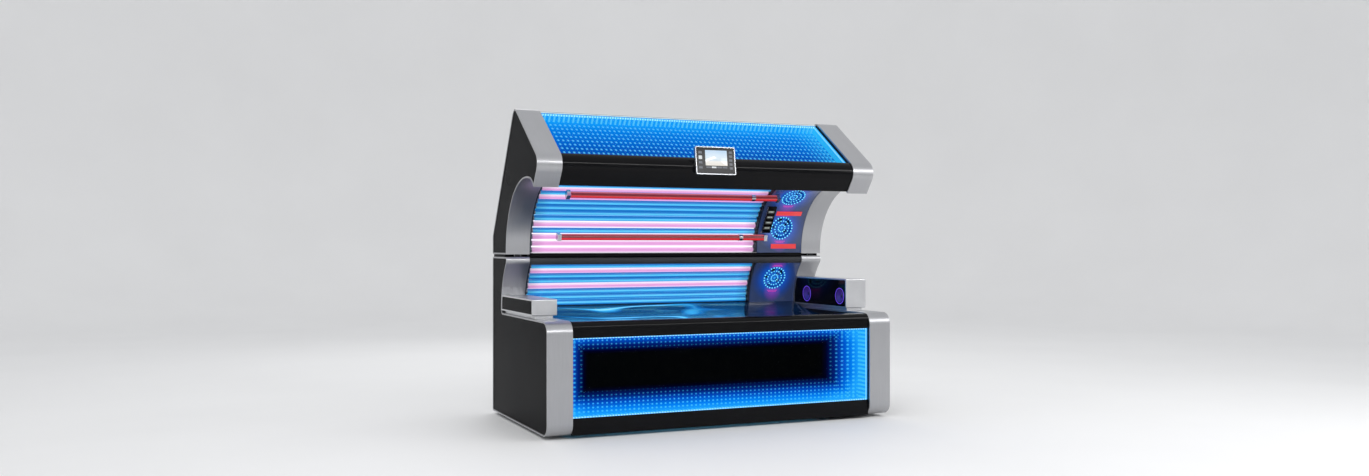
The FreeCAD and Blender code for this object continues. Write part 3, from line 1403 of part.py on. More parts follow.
def keypad():
    """A plate on the head panel with a column of keys that press in."""
    half_width, half_length = size("keypad_width") / 2, size("keypad_length") / 2
    front = size("keypad_thickness")
    back = size("keypad_back")
    plate = across("keypad_plate", "tunnel", "keypad_x", back, "keypad_angle",
                   (-half_width, -half_length, 0, "keypad_width", "keypad_length",
                    "keypad_thickness"))
    middle = (count("key_count") - 1) / 2
    wells = []
    for i in range(count("key_count")):
        up = (i - middle) * size("key_pitch")
        gap = size("seat_gap")
        half = size("key_width") / 2
        low = up - size("key_length") / 2
        depth = size("key_depth")
        key = across(f"key_{i + 1}", "tunnel", "keypad_x", back, "keypad_angle",
                     (-half, low, front - depth, "key_width", "key_length",
                      "key_depth + key_proud"))
        subpart(key, f"key_{i + 1}")
        wells.append(across(f"key_well_{i + 1}", "tunnel", "keypad_x", back, "keypad_angle",
                            (-half - gap, low - gap, front - depth - size("key_travel") - gap,
                             "key_width + 2 * seat_gap", "key_length + 2 * seat_gap",
                             "key_depth + key_travel + 10")))
    subpart(cut("keypad", plate, wells), "keypad")


def on_circle(name, angle, start, radius, length):
    """A cylinder along X on the red tubes' circle."""
    obj = doc.addObject("Part::Cylinder", name)
    obj.Placement.Rotation = YZ
    return bind(obj, x=start, y=f"tunnel_y + red_tube_circle * cos({angle})",
                z=f"tunnel_z + red_tube_circle * sin({angle})", Radius=radius, Height=length)


def red_lights():
    """Two red tubes with their end mounts and clips, and two bars in the head panel."""
    lights = []
    mounts = []
    outside = "red_tube_radius + red_tube_gap - seat_gap"
    for place in ("low", "high"):
        angle = f"red_tube_{place}_angle"
        lights.append(on_circle(f"red_tube_{place}", angle, "red_tube_start",
                                "red_tube_radius", "red_tube_end - red_tube_start"))
        for end, x, shift in (("foot", "red_tube_start", -size("red_mount_length")),
                              ("head", "red_tube_end", 0)):
            mounts.append(across(
                f"red_mount_{end}_{place}", "tunnel", x, size("red_tube_circle"), angle,
                (shift, -size("red_tube_radius"), -size("red_mount_back"),
                 "red_mount_length", "2 * red_tube_radius",
                 "red_mount_back + red_tube_radius")))
        mounts.append(cut(
            f"red_clip_{place}",
            on_circle(f"red_clip_outside_{place}", angle, "red_clip_x", outside,
                      "red_clip_length"),
            [on_circle(f"red_clip_bore_{place}", angle, "red_clip_x - 1",
                       "red_tube_radius + seat_gap", "red_clip_length + 2")]))
        half = size("red_bar_height") / 2
        lights.append(across(
            f"red_bar_{place}", "tunnel", "red_bar_start", size("red_bar_back"),
            f"red_bar_{place}_angle",
            (0, -half, 0, "red_bar_end - red_bar_start", "red_bar_height",
             "red_bar_thickness")))
    subpart(group("red_lights", lights), "red_lights")
    subpart(group("red_tube_mounts", mounts), "red_tube_mounts")


keypad()
red_lights()


# ---------------------------------------------------------------- control panel
def control_panel():
    """The tilted panel on the visor's nose, and the screen set in its face."""
    corner = "panel_corner_radius"
    body = doc.addObject("PartDesign::Body", "control_panel")
    case = draw(sketch_on(body, "XY_Plane", "panel_outline"), [
        ("panel_left", "panel_low", corner), ("panel_left", "panel_high", corner),
        ("panel_right", "panel_high", corner), ("panel_right", "panel_low", corner)])
    pad(body, case, "panel_case", "panel_depth")
    screen_corners = [
        ("screen_left", "screen_low", "screen_corner"),
        ("screen_left", "screen_high", "screen_corner"),
        ("screen_right", "screen_high", "screen_corner"),
        ("screen_right", "screen_low", "screen_corner")]
    recess = sketch_on(body, "XY_Plane", "panel_recess_outline")
    bind(recess, **{"AttachmentOffset.Base.z": "panel_depth"})
    draw(recess, screen_corners)
    pocket = body.newObject("PartDesign::Pocket", "panel_recess")
    pocket.Profile = recess
    bind(pocket, Length="screen_thickness")
    screen = doc.addObject("PartDesign::Body", "control_screen")
    glass = sketch_on(screen, "XY_Plane", "screen_outline")
    bind(glass, **{"AttachmentOffset.Base.z": "panel_depth - screen_thickness"})
    draw(glass, screen_corners)
    pad(screen, glass, "screen_glass", "screen_thickness")
    for obj in (body, screen):
        obj.Placement.Rotation = FreeCAD.Rotation(X_AXIS, 90 - size("panel_tilt"))
        bind(obj, x="panel_x", y="panel_back_y", z="panel_z")
        subpart(obj, obj.Name)


control_panel()


# ---------------------------------------------------------------- pods on the lower cheeks
def pod(place, side):
    """A pod's outline and its shell: a rounded block on a small plinth, up to the wall."""
    corners = [
        (f"{place}_pod_y", "pod_floor", "pod_corner_radius"),
        (f"{place}_pod_y", f"{place}_pod_top", "pod_corner_radius"),
        (f"{place}_pod_back_y", f"{place}_pod_top"),
        ("pod_floor_back_y", "pod_floor"),
    ]
    profile = outline(f"{place}_pod_outline", corners, {2: ("pod_back", -1)})
    start = "-half_length" if side == "left" else "cheek_inner"
    shell = extrude(f"{place}_pod_block", profile, start, "cheek_width")
    plinth = box(f"{place}_pod_plinth", f"{start} + pod_plinth_inset",
                 f"{place}_pod_y + pod_plinth_inset", "bench_top",
                 "cheek_width - 2 * pod_plinth_inset",
                 f"inner_corner_y - pod_clearance - {place}_pod_y - pod_plinth_inset",
                 "pod_lift + 1")
    return profile, fuse(f"{place}_pod_shell", [shell, plinth])


def foot_pod():
    """The pod at the foot end, with a panel set in its outer face."""
    profile, shell = pod("foot", "left")
    rim = inset("foot_pod_rim", profile, "pod_rim")
    face = inset("foot_pod_face", profile, "pod_rim + seat_gap")
    pocket = extrude("foot_pod_pocket", rim, "-half_length - 1", "pod_inset_depth + 1")
    subpart(cut("foot_pod", shell, [pocket]), "foot_pod")
    subpart(extrude("foot_pod_inset", face,
                    "-half_length + pod_inset_depth - pod_panel_thickness",
                    "pod_panel_thickness"), "foot_pod_inset")


def head_pod():
    """The pod at the head end: a glass panel with two speakers in its inner face."""
    profile, shell = pod("head", "right")
    rim = inset("head_pod_rim", profile, "pod_rim")
    face = inset("head_pod_face", profile, "pod_rim + seat_gap")
    pocket = extrude("head_pod_pocket", rim, "cheek_inner - 1", "pod_inset_depth + 1")
    glass = extrude("head_pod_panel", face,
                    "cheek_inner + pod_inset_depth - pod_panel_thickness",
                    "pod_panel_thickness")
    holes = []
    speakers = []
    front = "cheek_inner + pod_inset_depth - pod_panel_thickness"
    for place in ("near", "far"):
        y = f"speaker_{place}_y"
        holes.append(rod(f"speaker_hole_{place}", X_AXIS, "cheek_inner - 1", y, "speaker_z",
                         "speaker_radius + seat_gap",
                         "pod_inset_depth + speaker_depth + 1"))
        cone = doc.addObject("Part::Cone", f"speaker_cone_{place}")
        cone.Placement.Rotation = FreeCAD.Rotation(Z_AXIS, X_AXIS)
        bind(cone, x=f"{front} - 1", y=y, z="speaker_z", Radius1="speaker_radius - speaker_ring",
             Radius2="speaker_radius / 3", Height="speaker_depth")
        cap = doc.addObject("Part::Cone", f"speaker_cap_{place}")
        cap.Placement.Rotation = FreeCAD.Rotation(Z_AXIS, X_AXIS)
        bind(cap, x=f"{front} + speaker_depth - speaker_radius / 5", y=y, z="speaker_z",
             Radius1="speaker_radius / 10", Radius2="speaker_radius / 4",
             Height="speaker_radius / 5")
        drum = rod(f"speaker_drum_{place}", X_AXIS, front, y, "speaker_z", "speaker_radius",
                   "pod_panel_thickness + speaker_depth")
        speakers.append(fuse(f"speaker_{place}", [
            cut(f"speaker_bowl_{place}", drum, [cone]),
            cap,
        ]))
    subpart(cut("head_pod", shell, [pocket] + holes), "head_pod")
    subpart(cut("head_pod_glass", glass, [
        rod(f"speaker_opening_{place}", X_AXIS, "cheek_inner - 1",
            f"speaker_{place}_y", "speaker_z", "speaker_radius + seat_gap",
            "pod_inset_depth + 2") for place in ("near", "far")]), "head_pod_glass")
    subpart(group("speakers", speakers), "speakers")


foot_pod()
head_pod()


# ---------------------------------------------------------------- electrics and covers
def ballast_tray():
    """The tray on the cross members with its row of ballasts."""
    parts = [box("ballast_plate", "-ballast_length / 2", "-ballast_depth / 2", "rail_top",
                 "ballast_length", "ballast_depth", "sheet_thickness")]
    for i in range(count("ballast_count")):
        parts.append(box(
            f"ballast_{i + 1}",
            f"-ballast_length / 2 + ballast_length / ballast_count * {i + 0.5}"
            " - ballast_box_width / 2",
            "-ballast_depth / 2 + 10", "rail_top", "ballast_box_width", "ballast_box_depth",
            "ballast_box_height"))
    parts.append(box("control_box", "-control_box_width / 2",
                     "ballast_depth / 2 - control_box_depth", "rail_top", "control_box_width",
                     "control_box_depth - 5", "control_box_height"))
    subpart(fuse("ballast_tray", parts), "ballast_tray")


def lever_slots(name, low, height, width):
    """Openings for the levers in a cover."""
    return [box(f"{name}_{side}_slot", f"{sign} * lift_side - ({width}) / 2",
                "lift_y - lever_reach", low, width, "2 * lever_reach", height)
            for side, _, sign in SIDES]


def lower_rear_cover():
    """Rear and top cover between the lower cheeks, with louvres and the power inlet."""
    loop = cut("lower_cover_loop",
               extrude("lower_cover_outside", lower_cover_outer, "-body_half",
                       "2 * body_half"),
               [extrude("lower_cover_inside", lower_cover_inner, "-half_length",
                        "2 * half_length")])
    front = box("lower_cover_front_cut", "-half_length", "front_y - 1", "0",
                "2 * half_length", "wall_y - front_y + 1", "split_height")
    floor = box("lower_cover_floor_cut", "-half_length", "wall_y - 1", "0",
                "2 * half_length", "overall_depth", "cheek_lift + band_thickness + 30")
    arc = sector("lower_cover_wall_cut", "wall", "wall_radius - 10", "40", "cover_cut_first",
                 "wall_sheet_high_angle", "-half_length", "2 * half_length")
    bed = box("lower_cover_bed_cut", "-half_length", "wall_y - 1", "0", "2 * half_length",
              "wall_radius + 40", "wall_z + 20")
    cuts = [front, floor, arc, bed]
    cuts += lever_slots("lower_cover", "split_height - 60", "80", "lever_slot_width")
    for i in range(count("louvre_count")):
        cuts.append(box(f"louvre_{i + 1}", "louvre_x", "rear_y - 40",
                        f"louvre_z + {i} * louvre_pitch", "louvre_width", "60",
                        "louvre_height"))
    cuts.append(rod("cooling_fan_opening", Y_AXIS, "0", "rear_y - 40", "cooling_fan_z",
                    "cooling_fan_radius + seat_gap", "60"))
    cover = cut("lower_cover_sheet", loop, cuts)
    gland = rod("power_inlet", Y_AXIS, "gland_x", "rear_y - cover_recess + gland_proud"
                " - gland_length", "gland_z", "gland_radius", "gland_length")
    subpart(fuse("lower_rear_cover", [cover, gland]), "lower_rear_cover")


def canopy_rear_cover():
    """Top, rear and underside cover between the canopy cheeks."""
    loop = cut("canopy_cover_loop",
               extrude("canopy_cover_outside", canopy_cover_outer, "-body_half",
                       "2 * body_half"),
               [extrude("canopy_cover_inside", canopy_cover_inner, "-half_length",
                        "2 * half_length")])
    core = turned_rod("canopy_cover_core_cut", "tunnel", "-half_length", "canopy_core",
                      "2 * half_length")
    slope = slope_box("canopy_cover_slope_cut", "-half_length", "-slope_length / 2",
                      "visor_tray_floor + 30", "2 * half_length",
                      "slope_length / 2 + visor_window_end + seat_gap",
                      "visor_tray_floor + 60")
    nose = box("canopy_cover_nose_cut", "-half_length", "front_y", "0", "2 * half_length",
               "tunnel_y - front_y", "visor_z + 120")
    cuts = [core, slope, nose]
    cuts += lever_slots("canopy_cover", "canopy_floor - 10", "40", "lever_thickness + 4")
    subpart(cut("canopy_rear_cover", loop, cuts), "canopy_rear_cover")


ballast_tray()
lower_rear_cover()
canopy_rear_cover()


# ---------------------------------------------------------------- check and export
def export():
    """Recompute, check every object and write each sub-part to parts/NAME.step."""
    doc.recompute()
    broken = [o.Name for o in doc.Objects if "Invalid" in o.State or "Error" in o.State]
    if broken:
        raise RuntimeError(f"objects that failed: {broken}")
    os.makedirs("parts", exist_ok=True)
    for name, obj in SUBPARTS.items():
        if obj.Shape.isNull() or not obj.Shape.isValid():
            raise RuntimeError(f"{name} has no valid shape")
        obj.Shape.exportStep(f"parts/{name}.step")
    print(f"{len(SUBPARTS)} sub-parts written")


export()
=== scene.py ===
import math

import bmesh
import bpy
from mathutils import Matrix, Vector


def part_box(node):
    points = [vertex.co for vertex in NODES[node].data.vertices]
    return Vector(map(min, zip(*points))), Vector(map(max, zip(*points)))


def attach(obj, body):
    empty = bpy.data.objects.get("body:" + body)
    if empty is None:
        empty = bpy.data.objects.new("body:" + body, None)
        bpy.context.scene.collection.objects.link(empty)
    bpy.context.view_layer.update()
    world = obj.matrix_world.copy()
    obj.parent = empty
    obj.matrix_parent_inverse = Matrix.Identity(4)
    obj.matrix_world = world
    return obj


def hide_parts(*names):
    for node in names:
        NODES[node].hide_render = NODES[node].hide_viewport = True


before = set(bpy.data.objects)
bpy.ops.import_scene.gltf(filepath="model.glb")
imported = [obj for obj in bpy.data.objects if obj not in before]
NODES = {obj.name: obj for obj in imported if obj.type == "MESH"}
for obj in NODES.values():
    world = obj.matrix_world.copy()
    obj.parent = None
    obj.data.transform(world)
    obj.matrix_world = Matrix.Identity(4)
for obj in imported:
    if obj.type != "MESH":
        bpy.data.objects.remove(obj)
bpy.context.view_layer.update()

# Places and sizes that the pieces share, in metres. An axis is the (y, z) of a line along X. A
# row of lamps lies on a circle round its axis: the first lamp's angle, then the step, in degrees.
CANOPY_AXIS = (-0.180, 1.115)
CANOPY_LAMP_CIRCLE = 0.492
CANOPY_FIRST, CANOPY_STEP = 1.3, 5.2
WALL_AXIS = (-0.033, 0.730)
WALL_LAMP_CIRCLE = 0.465
WALL_FIRST, WALL_STEP = 4.2, 4.9
LAMP_LOW, LAMP_HIGH = -1.0287, 0.655
LAMP_RADIUS = 0.019
# The lamps in order round each tunnel, P for pink and B for blue.
CANOPY_ROWS = "PPPBPBBBBPBPBPBPBP"
WALL_ROWS = "BBBPBBPB"

# Windows: both have the same half width. The visor leans: its light box starts at a corner, and
# a point along its slope lies that far times (cos, sin) from it.
WINDOW_HALF = 1.0397
FRONT_LOW, FRONT_HIGH = 0.1205, 0.604
VISOR_CORNER = (-0.464, 1.674)
VISOR_COS, VISOR_SIN = 0.8216, 0.5700
VISOR_NEAR, VISOR_FAR = 0.096, 0.648
# What lies within this of a light tray's own box is its outside.
TRAY_SKIN = 0.0006

# Fans: the middle of the grille, the direction it faces, and the body it is on.
FANS = {
    "canopy_low": ((0.8549, 0.24794, 1.28098), (0, -0.93233, -0.36162), "canopy"),
    "canopy_high": ((0.8549, 0.07066, 1.49951), (0, -0.5461, -0.83772), "canopy"),
    "wall": ((0.8549, 0.35756, 0.91462), (0, -0.90408, -0.42736), "base")}

# The hinge line's (y, z), the display's middle and the way it faces, where the long red tubes
# end and the short bars begin, and the first key's (x, z).
HINGE = (0.295, 1.087)
PANEL_CENTRE = (-0.010, -0.4410, 1.7033)
PANEL_NORMAL = (0.0, -0.99027, 0.13917)
RED_TUBE_END = 0.74
KEY_FIRST, KEY_PITCH = (0.724, 1.2819), 0.0379


# ---- Materials -------------------------------------------------------------------------------

# Most of a smooth noise lies between these, so shades and roughness change over this range.
NOISE_RANGE = (0.3, 0.7)


class Paint:
    """One node material: a Principled shader and the nodes that feed it."""

    def __init__(self, name, **values):
        self.mat = bpy.data.materials.new(name)
        self.mat.use_nodes = True
        self.nodes = self.mat.node_tree.nodes
        self.links = self.mat.node_tree.links
        self.shader = self.nodes["Principled BSDF"]
        self.where = self.nodes.new("ShaderNodeTexCoord").outputs["Object"]
        self.set(**values)

    def set(self, **values):
        """Fill the shader's sockets, each named with _ where its name has a space."""
        for key, value in values.items():
            self.put(self.shader.inputs[key.replace("_", " ")], value)

    def put(self, socket, value):
        """Link a socket to another node's output, or give it a constant."""
        if isinstance(value, bpy.types.NodeSocket):
            self.links.new(value, socket)
        elif socket.type == "RGBA" and len(value) == 3:
            socket.default_value = (*value, 1.0)
        else:
            socket.default_value = value

    def node(self, kind, inputs=(), **settings):
        """A new node with its settings, and its inputs by index or by name."""
        node = self.nodes.new(kind)
        for key, value in settings.items():
            setattr(node, key, value)
        for index, value in dict(inputs).items():
            self.put(node.inputs[index], value)
        return node

    def stretched(self, x, y, z):
        """The object's coordinates scaled along each axis, which draws noise out into streaks."""
        return self.node("ShaderNodeVectorMath", {0: self.where, 1: (x, y, z)},
                         operation="MULTIPLY").outputs[0]

    def noise(self, scale, detail=3.0, rough=0.5, vector=None):
        """Smooth noise between 0 and 1."""
        return self.node("ShaderNodeTexNoise", {
            "Vector": vector or self.where, "Scale": scale, "Detail": detail,
            "Roughness": rough}).outputs[0]

    def axis(self, name):
        """The object's own X, Y or Z, in metres."""
        return self.node("ShaderNodeSeparateXYZ", {0: self.where}).outputs[name]

    def num(self, kind, *values):
        """A number worked out from others, by the Math node's operation of that name."""
        return self.node("ShaderNodeMath", dict(enumerate(values)), operation=kind).outputs[0]

    def wave(self, value, pitch):
        """A smooth wave between 0 and 1, with a crest at 0 and at each pitch from it."""
        turned = self.num("MULTIPLY", value, 2 * math.pi / pitch)
        return self.num("ADD", self.num("MULTIPLY", self.num("COSINE", turned), 0.5), 0.5)

    def ramp(self, factor, stops):
        """A colour from a list of (place, colour) stops. All places are set before the colours."""
        node = self.node("ShaderNodeValToRGB", {0: factor})
        marks = node.color_ramp.elements
        while len(marks) < len(stops):
            marks.new(0.5)
        for mark, (place, _) in zip(marks, stops):
            mark.position = place
        for mark, (_, colour) in zip(marks, stops):
            mark.color = (*colour, 1.0)
        return node.outputs[0]

    def mix(self, factor, a, b):
        """Colour a where the factor is 0, colour b where it is 1."""
        node = self.node("ShaderNodeMix", data_type="RGBA")
        for index, value in ((0, factor), (6, a), (7, b)):
            self.put(node.inputs[index], value)
        return node.outputs[2]

    def span(self, value, low, high, out_low, out_high):
        """A value carried from one range over to another, and held at the other's ends."""
        node = self.node("ShaderNodeMapRange", {
            0: value, 1: low, 2: high, 3: out_low, 4: out_high})
        return node.outputs[0]

    def bump(self, height, strength, distance):
        return self.node("ShaderNodeBump", {
            "Height": height, "Strength": strength, "Distance": distance}).outputs[0]


def grey(value):
    return (value, value, value)


def tinted(colour, share):
    return tuple(channel * share for channel in colour)


def satin_metal(name, colour, rough, grain=(420.0, 7.0, 7.0)):
    """Anodised aluminium, brushed along the sweep of the band, with faint handling marks."""
    paint = Paint(name, Metallic=0.92, Anisotropic=0.35)
    streaks = paint.noise(1.0, 4.0, 0.6, paint.stretched(*grain))
    cloud = paint.noise(3.2, 4.0, 0.55)
    tone = paint.ramp(streaks, [(0.25, tinted(colour, 0.93)), (0.75, tinted(colour, 1.05))])
    tone = paint.mix(paint.span(cloud, 0.35, 0.7, 0.0, 0.16), tone, tinted(colour, 0.86))
    paint.set(Base_Color=tone,
              Roughness=paint.span(paint.num("ADD", streaks, cloud), 0.6, 1.4,
                                   rough - 0.045, rough + 0.055),
              Normal=paint.bump(streaks, 0.05, 0.0006))
    return paint.mat


def lacquer(name, colour, rough, shine=0.5):
    """High-gloss paint with a little orange peel and dust."""
    paint = Paint(name, Specular_IOR_Level=shine)
    peel = paint.noise(130.0, 2.0)
    dust = paint.noise(900.0, 1.0, 0.4)
    cloud = paint.noise(2.4, 5.0, 0.6)
    tone = paint.mix(paint.span(cloud, 0.3, 0.75, 0.0, 0.5), colour, tinted(colour, 1.7))
    tone = paint.mix(paint.span(dust, 0.76, 0.84, 0.0, 0.12), tone, grey(0.10))
    paint.set(Base_Color=tone, Roughness=paint.span(cloud, *NOISE_RANGE, rough, rough + 0.06),
              Normal=paint.bump(peel, 0.02, 0.0006))
    return paint.mat


def moulded(name, colour, rough, grain=1400.0, depth=0.18):
    """Moulded plastic or rubber with a fine spark-eroded grain and slight shade changes."""
    paint = Paint(name)
    fine = paint.noise(grain, 2.0, 0.5)
    cloud = paint.noise(6.0, 3.0)
    paint.set(Base_Color=paint.mix(paint.span(cloud, *NOISE_RANGE, 0.0, 0.6), colour,
                                   tinted(colour, 1.35)),
              Roughness=paint.span(fine, *NOISE_RANGE, rough - 0.06, rough + 0.06),
              Normal=paint.bump(fine, depth, 0.0005))
    return paint.mat


def powder_coat(name, colour, rough):
    """Textured powder coating over sheet steel, scuffed paler here and there."""
    paint = Paint(name, Specular_IOR_Level=0.15)
    pebbles = paint.node("ShaderNodeTexVoronoi", {"Vector": paint.where, "Scale": 420.0})
    cloud = paint.noise(4.0, 5.0, 0.6)
    scuffs = paint.noise(1.0, 4.0, 0.65, paint.stretched(9.0, 9.0, 60.0))
    tone = paint.mix(paint.span(cloud, *NOISE_RANGE, 0.0, 0.5), colour, tinted(colour, 1.35))
    tone = paint.mix(paint.span(scuffs, 0.68, 0.8, 0.0, 0.35), tone, tinted(colour, 2.2))
    paint.set(Base_Color=tone, Roughness=paint.span(cloud, *NOISE_RANGE, rough - 0.05, rough + 0.07),
              Normal=paint.bump(pebbles.outputs[0], 0.22, 0.0006))
    return paint.mat


def bright_metal(name, colour, rough, grain=(30.0, 30.0, 700.0)):
    """Ground or plated metal with fine turning marks."""
    paint = Paint(name, Metallic=1.0)
    marks = paint.noise(1.0, 3.0, 0.55, paint.stretched(*grain))
    cloud = paint.noise(14.0, 3.0)
    paint.set(Base_Color=paint.mix(paint.span(cloud, 0.35, 0.7, 0.0, 0.5), colour,
                                   tinted(colour, 0.8)),
              Roughness=paint.span(marks, *NOISE_RANGE, rough - 0.04, rough + 0.05),
              Normal=paint.bump(marks, 0.06, 0.0004))
    return paint.mat


def clear_sheet(name, colour, smear, ior):
    """Clear glass or acrylic with wiping marks. A low index keeps the studio's mirror image off it,
    so that what is lit behind it stays in view."""
    paint = Paint(name, Transmission_Weight=1.0, IOR=ior, Specular_IOR_Level=0.5)
    wipes = paint.noise(1.0, 3.0, 0.6, paint.stretched(2.0, 9.0, 9.0))
    cloud = paint.noise(1.7, 2.0)
    paint.set(Base_Color=paint.mix(paint.span(cloud, *NOISE_RANGE, 0.0, 1.0), colour,
                                   tinted(colour, 0.97)),
              Roughness=paint.span(wipes, 0.5, 0.8, 0.0, smear))
    return paint.mat


def glow(name, colour, strength, grain):
    """Its own light, a little uneven, under a smooth skin: a lit diffuser, or a painted glow where
    nothing lights it.
    """
    paint = Paint(name, Base_Color=tinted(colour, 0.15), Roughness=0.3,
                  Emission_Strength=strength)
    cloud = paint.noise(grain, 2.0)
    paint.set(Emission_Color=paint.mix(paint.span(cloud, *NOISE_RANGE, 0.0, 1.0), colour,
                                       tinted(colour, 0.9)))
    return paint.mat


def sweep(paint, axis, first, step):
    """How many lamp pitches round the tunnel axis a point lies, measured from the first lamp."""
    out = paint.num("SUBTRACT", paint.axis("Y"), axis[0])
    up = paint.num("SUBTRACT", paint.axis("Z"), axis[1])
    angle = paint.num("ARCTAN2", up, out)
    return paint.num("DIVIDE", paint.num("SUBTRACT", angle, math.radians(first)),
                     math.radians(step))


# Each lamp's colours: at its rim, between, and along the line that faces the tunnel. These are
# painted shading and glare: the blue lamps are painted darker at their rims and brightest along
# that line, the pink ones painted white at their rims as glare from the reflectors beside them.
BLUE_LAMP = ((0.006, 0.13, 0.48), (0.016, 0.28, 0.76), (0.12, 0.68, 1.0))
PINK_LAMP = ((1.0, 0.88, 0.99), (0.90, 0.44, 0.80), (0.84, 0.36, 0.74))
# A lamp is dim up to the first distance from its end and at full strength from the second.
DIM_FROM, DIM_TO = 0.02, 0.10


def lamp_tube(name, shades, axis, first, step):
    """Phosphor-coated glass with painted shading and glare across it from its rims to its middle,
    and dimmer at its ends.
    """
    paint = Paint(name, Base_Color=grey(0.02), Roughness=0.12, Emission_Strength=1.0)
    turn = sweep(paint, axis, first, step)
    off = paint.num("ABSOLUTE", paint.num("SUBTRACT", turn, paint.num("ROUND", turn)))
    tone = paint.ramp(paint.num("MULTIPLY", off, 2.0),
                      [(0.10, shades[2]), (0.42, shades[1]), (0.85, shades[0])])
    x = paint.axis("X")
    near = paint.num("MINIMUM", paint.num("SUBTRACT", x, LAMP_LOW),
                     paint.num("SUBTRACT", LAMP_HIGH, x))
    tone = paint.mix(paint.span(near, DIM_FROM, DIM_TO, 0.45, 0.0), tone,
                     tinted(shades[1], 0.3))
    cloud = paint.noise(1.0, 2.0, 0.5, paint.stretched(3.0, 60.0, 60.0))
    paint.set(Emission_Color=paint.mix(paint.span(cloud, 0.35, 0.65, 0.0, 0.12), tone,
                                       tinted(shades[1], 0.8)))
    return paint.mat


def reflector_painted_glow(name, rows, axis, first, step):
    """Bright aluminium between the lamps with the lamps' reflected light painted on as a glow: pale
    beside the pink ones and blue elsewhere.
    """
    paint = Paint(name, Base_Color=grey(0.35), Metallic=0.6, Roughness=0.25,
                  Emission_Strength=1.0)
    turn = sweep(paint, axis, first, step)
    place = paint.num("DIVIDE", paint.num("ADD", turn, 1.0), len(rows) + 1.0)
    pale, blue = (1.0, 0.97, 1.0), (0.14, 0.62, 0.98)
    stops = [(0.0, pale if rows[0] == "P" else blue)]
    for i in range(1, len(rows) + 1):
        pair = rows[i - 1:i + 1]
        stops.append(((i + 0.5) / (len(rows) + 1), pale if "P" in pair else blue))
    grain = paint.noise(1.0, 3.0, 0.5, paint.stretched(6.0, 300.0, 300.0))
    tone = paint.ramp(place, stops)
    paint.set(Emission_Color=paint.mix(paint.span(grain, *NOISE_RANGE, 0.0, 0.25), tone,
                                       tinted(blue, 0.7)))
    return paint.mat


def dots(paint, across, along, pitches, size):
    """A grid of light points: 1 at each point's centre, 0 between them, broader with the size."""
    waves = [paint.wave(value, pitch) for value, pitch in zip((across, along), pitches)]
    return paint.span(paint.num("MULTIPLY", *waves), 1.0 - size, 1.0, 0.0, 1.0)


def inside(paint, node):
    """1 on the faces inside a box-shaped tray, 0 on its outer faces and its rim."""
    lit = 1.0
    for name, low, high in zip("XYZ", *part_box(node)):
        value = paint.axis(name)
        for sign, limit in (("GREATER_THAN", low + TRAY_SKIN), ("LESS_THAN", high - TRAY_SKIN)):
            lit = paint.num("MULTIPLY", lit, paint.num(sign, value, limit))
    return lit


# The pitch of the painted light points along X and up the window; on the front window they stand
# for the LEDs as its mirrors show them. The front window's ends have broader points than its top
# and bottom. The visor also has upright bars near its head end.
FRONT_END_POINTS, FRONT_ROW_POINTS = (0.0450, 0.0270), (0.0300, 0.0240)
VISOR_POINTS = (0.0330, 0.0500)
VISOR_BAR_PITCH, VISOR_BAR_REACH = 0.030, 0.20
STRIP_PITCH = 0.0180


def light_box(name):
    """An unlit dark lining without shine, for a light box's own glow to be painted on."""
    return Paint(name, Base_Color=grey(0.002), Roughness=0.3, Specular_IOR_Level=0.0,
                 Emission_Strength=1.0)


def front_window_light():
    """Mirror-lined light box with the LEDs' reflections painted on: glowing edges that fade to a
    black middle, with rows of points.
    """
    paint = light_box("front_window_light")
    x, z = paint.axis("X"), paint.axis("Z")

    def glow_from(distance, reach, start):
        return paint.span(distance, 0.0, reach, start, 0.0)

    ends = paint.num("MAXIMUM",
                     glow_from(paint.num("SUBTRACT", WINDOW_HALF, x), 0.30, 1.0),
                     glow_from(paint.num("ADD", x, WINDOW_HALF), 0.13, 0.78))
    rows = paint.num("MAXIMUM",
                     glow_from(paint.num("SUBTRACT", z, FRONT_LOW), 0.17, 1.0),
                     glow_from(paint.num("SUBTRACT", FRONT_HIGH, z), 0.11, 0.74))
    corners = paint.num("MULTIPLY", 0.35, paint.num("MULTIPLY", ends, rows))
    glowing = paint.num("ADD", paint.num("MAXIMUM", ends, rows), corners)
    tone = paint.ramp(glowing, [
        (0.0, (0.0, 0.0, 0.0)), (0.12, (0.0, 0.0, 0.012)), (0.34, (0.0, 0.012, 0.16)),
        (0.56, (0.0, 0.07, 0.55)), (0.8, (0.0, 0.22, 0.90)), (1.0, (0.01, 0.36, 1.0))])
    broad = paint.num("MULTIPLY", dots(paint, x, z, FRONT_END_POINTS, 0.75), ends)
    fine = paint.num("MULTIPLY", dots(paint, x, z, FRONT_ROW_POINTS, 0.70), rows)
    lit = paint.mix(paint.span(paint.num("MAXIMUM", broad, fine), 0.10, 0.60, 0.0, 1.0),
                    tone, (0.05, 0.55, 1.0))
    paint.set(Emission_Color=paint.mix(inside(paint, "front_light_tray"), grey(0.0), lit))
    return paint.mat


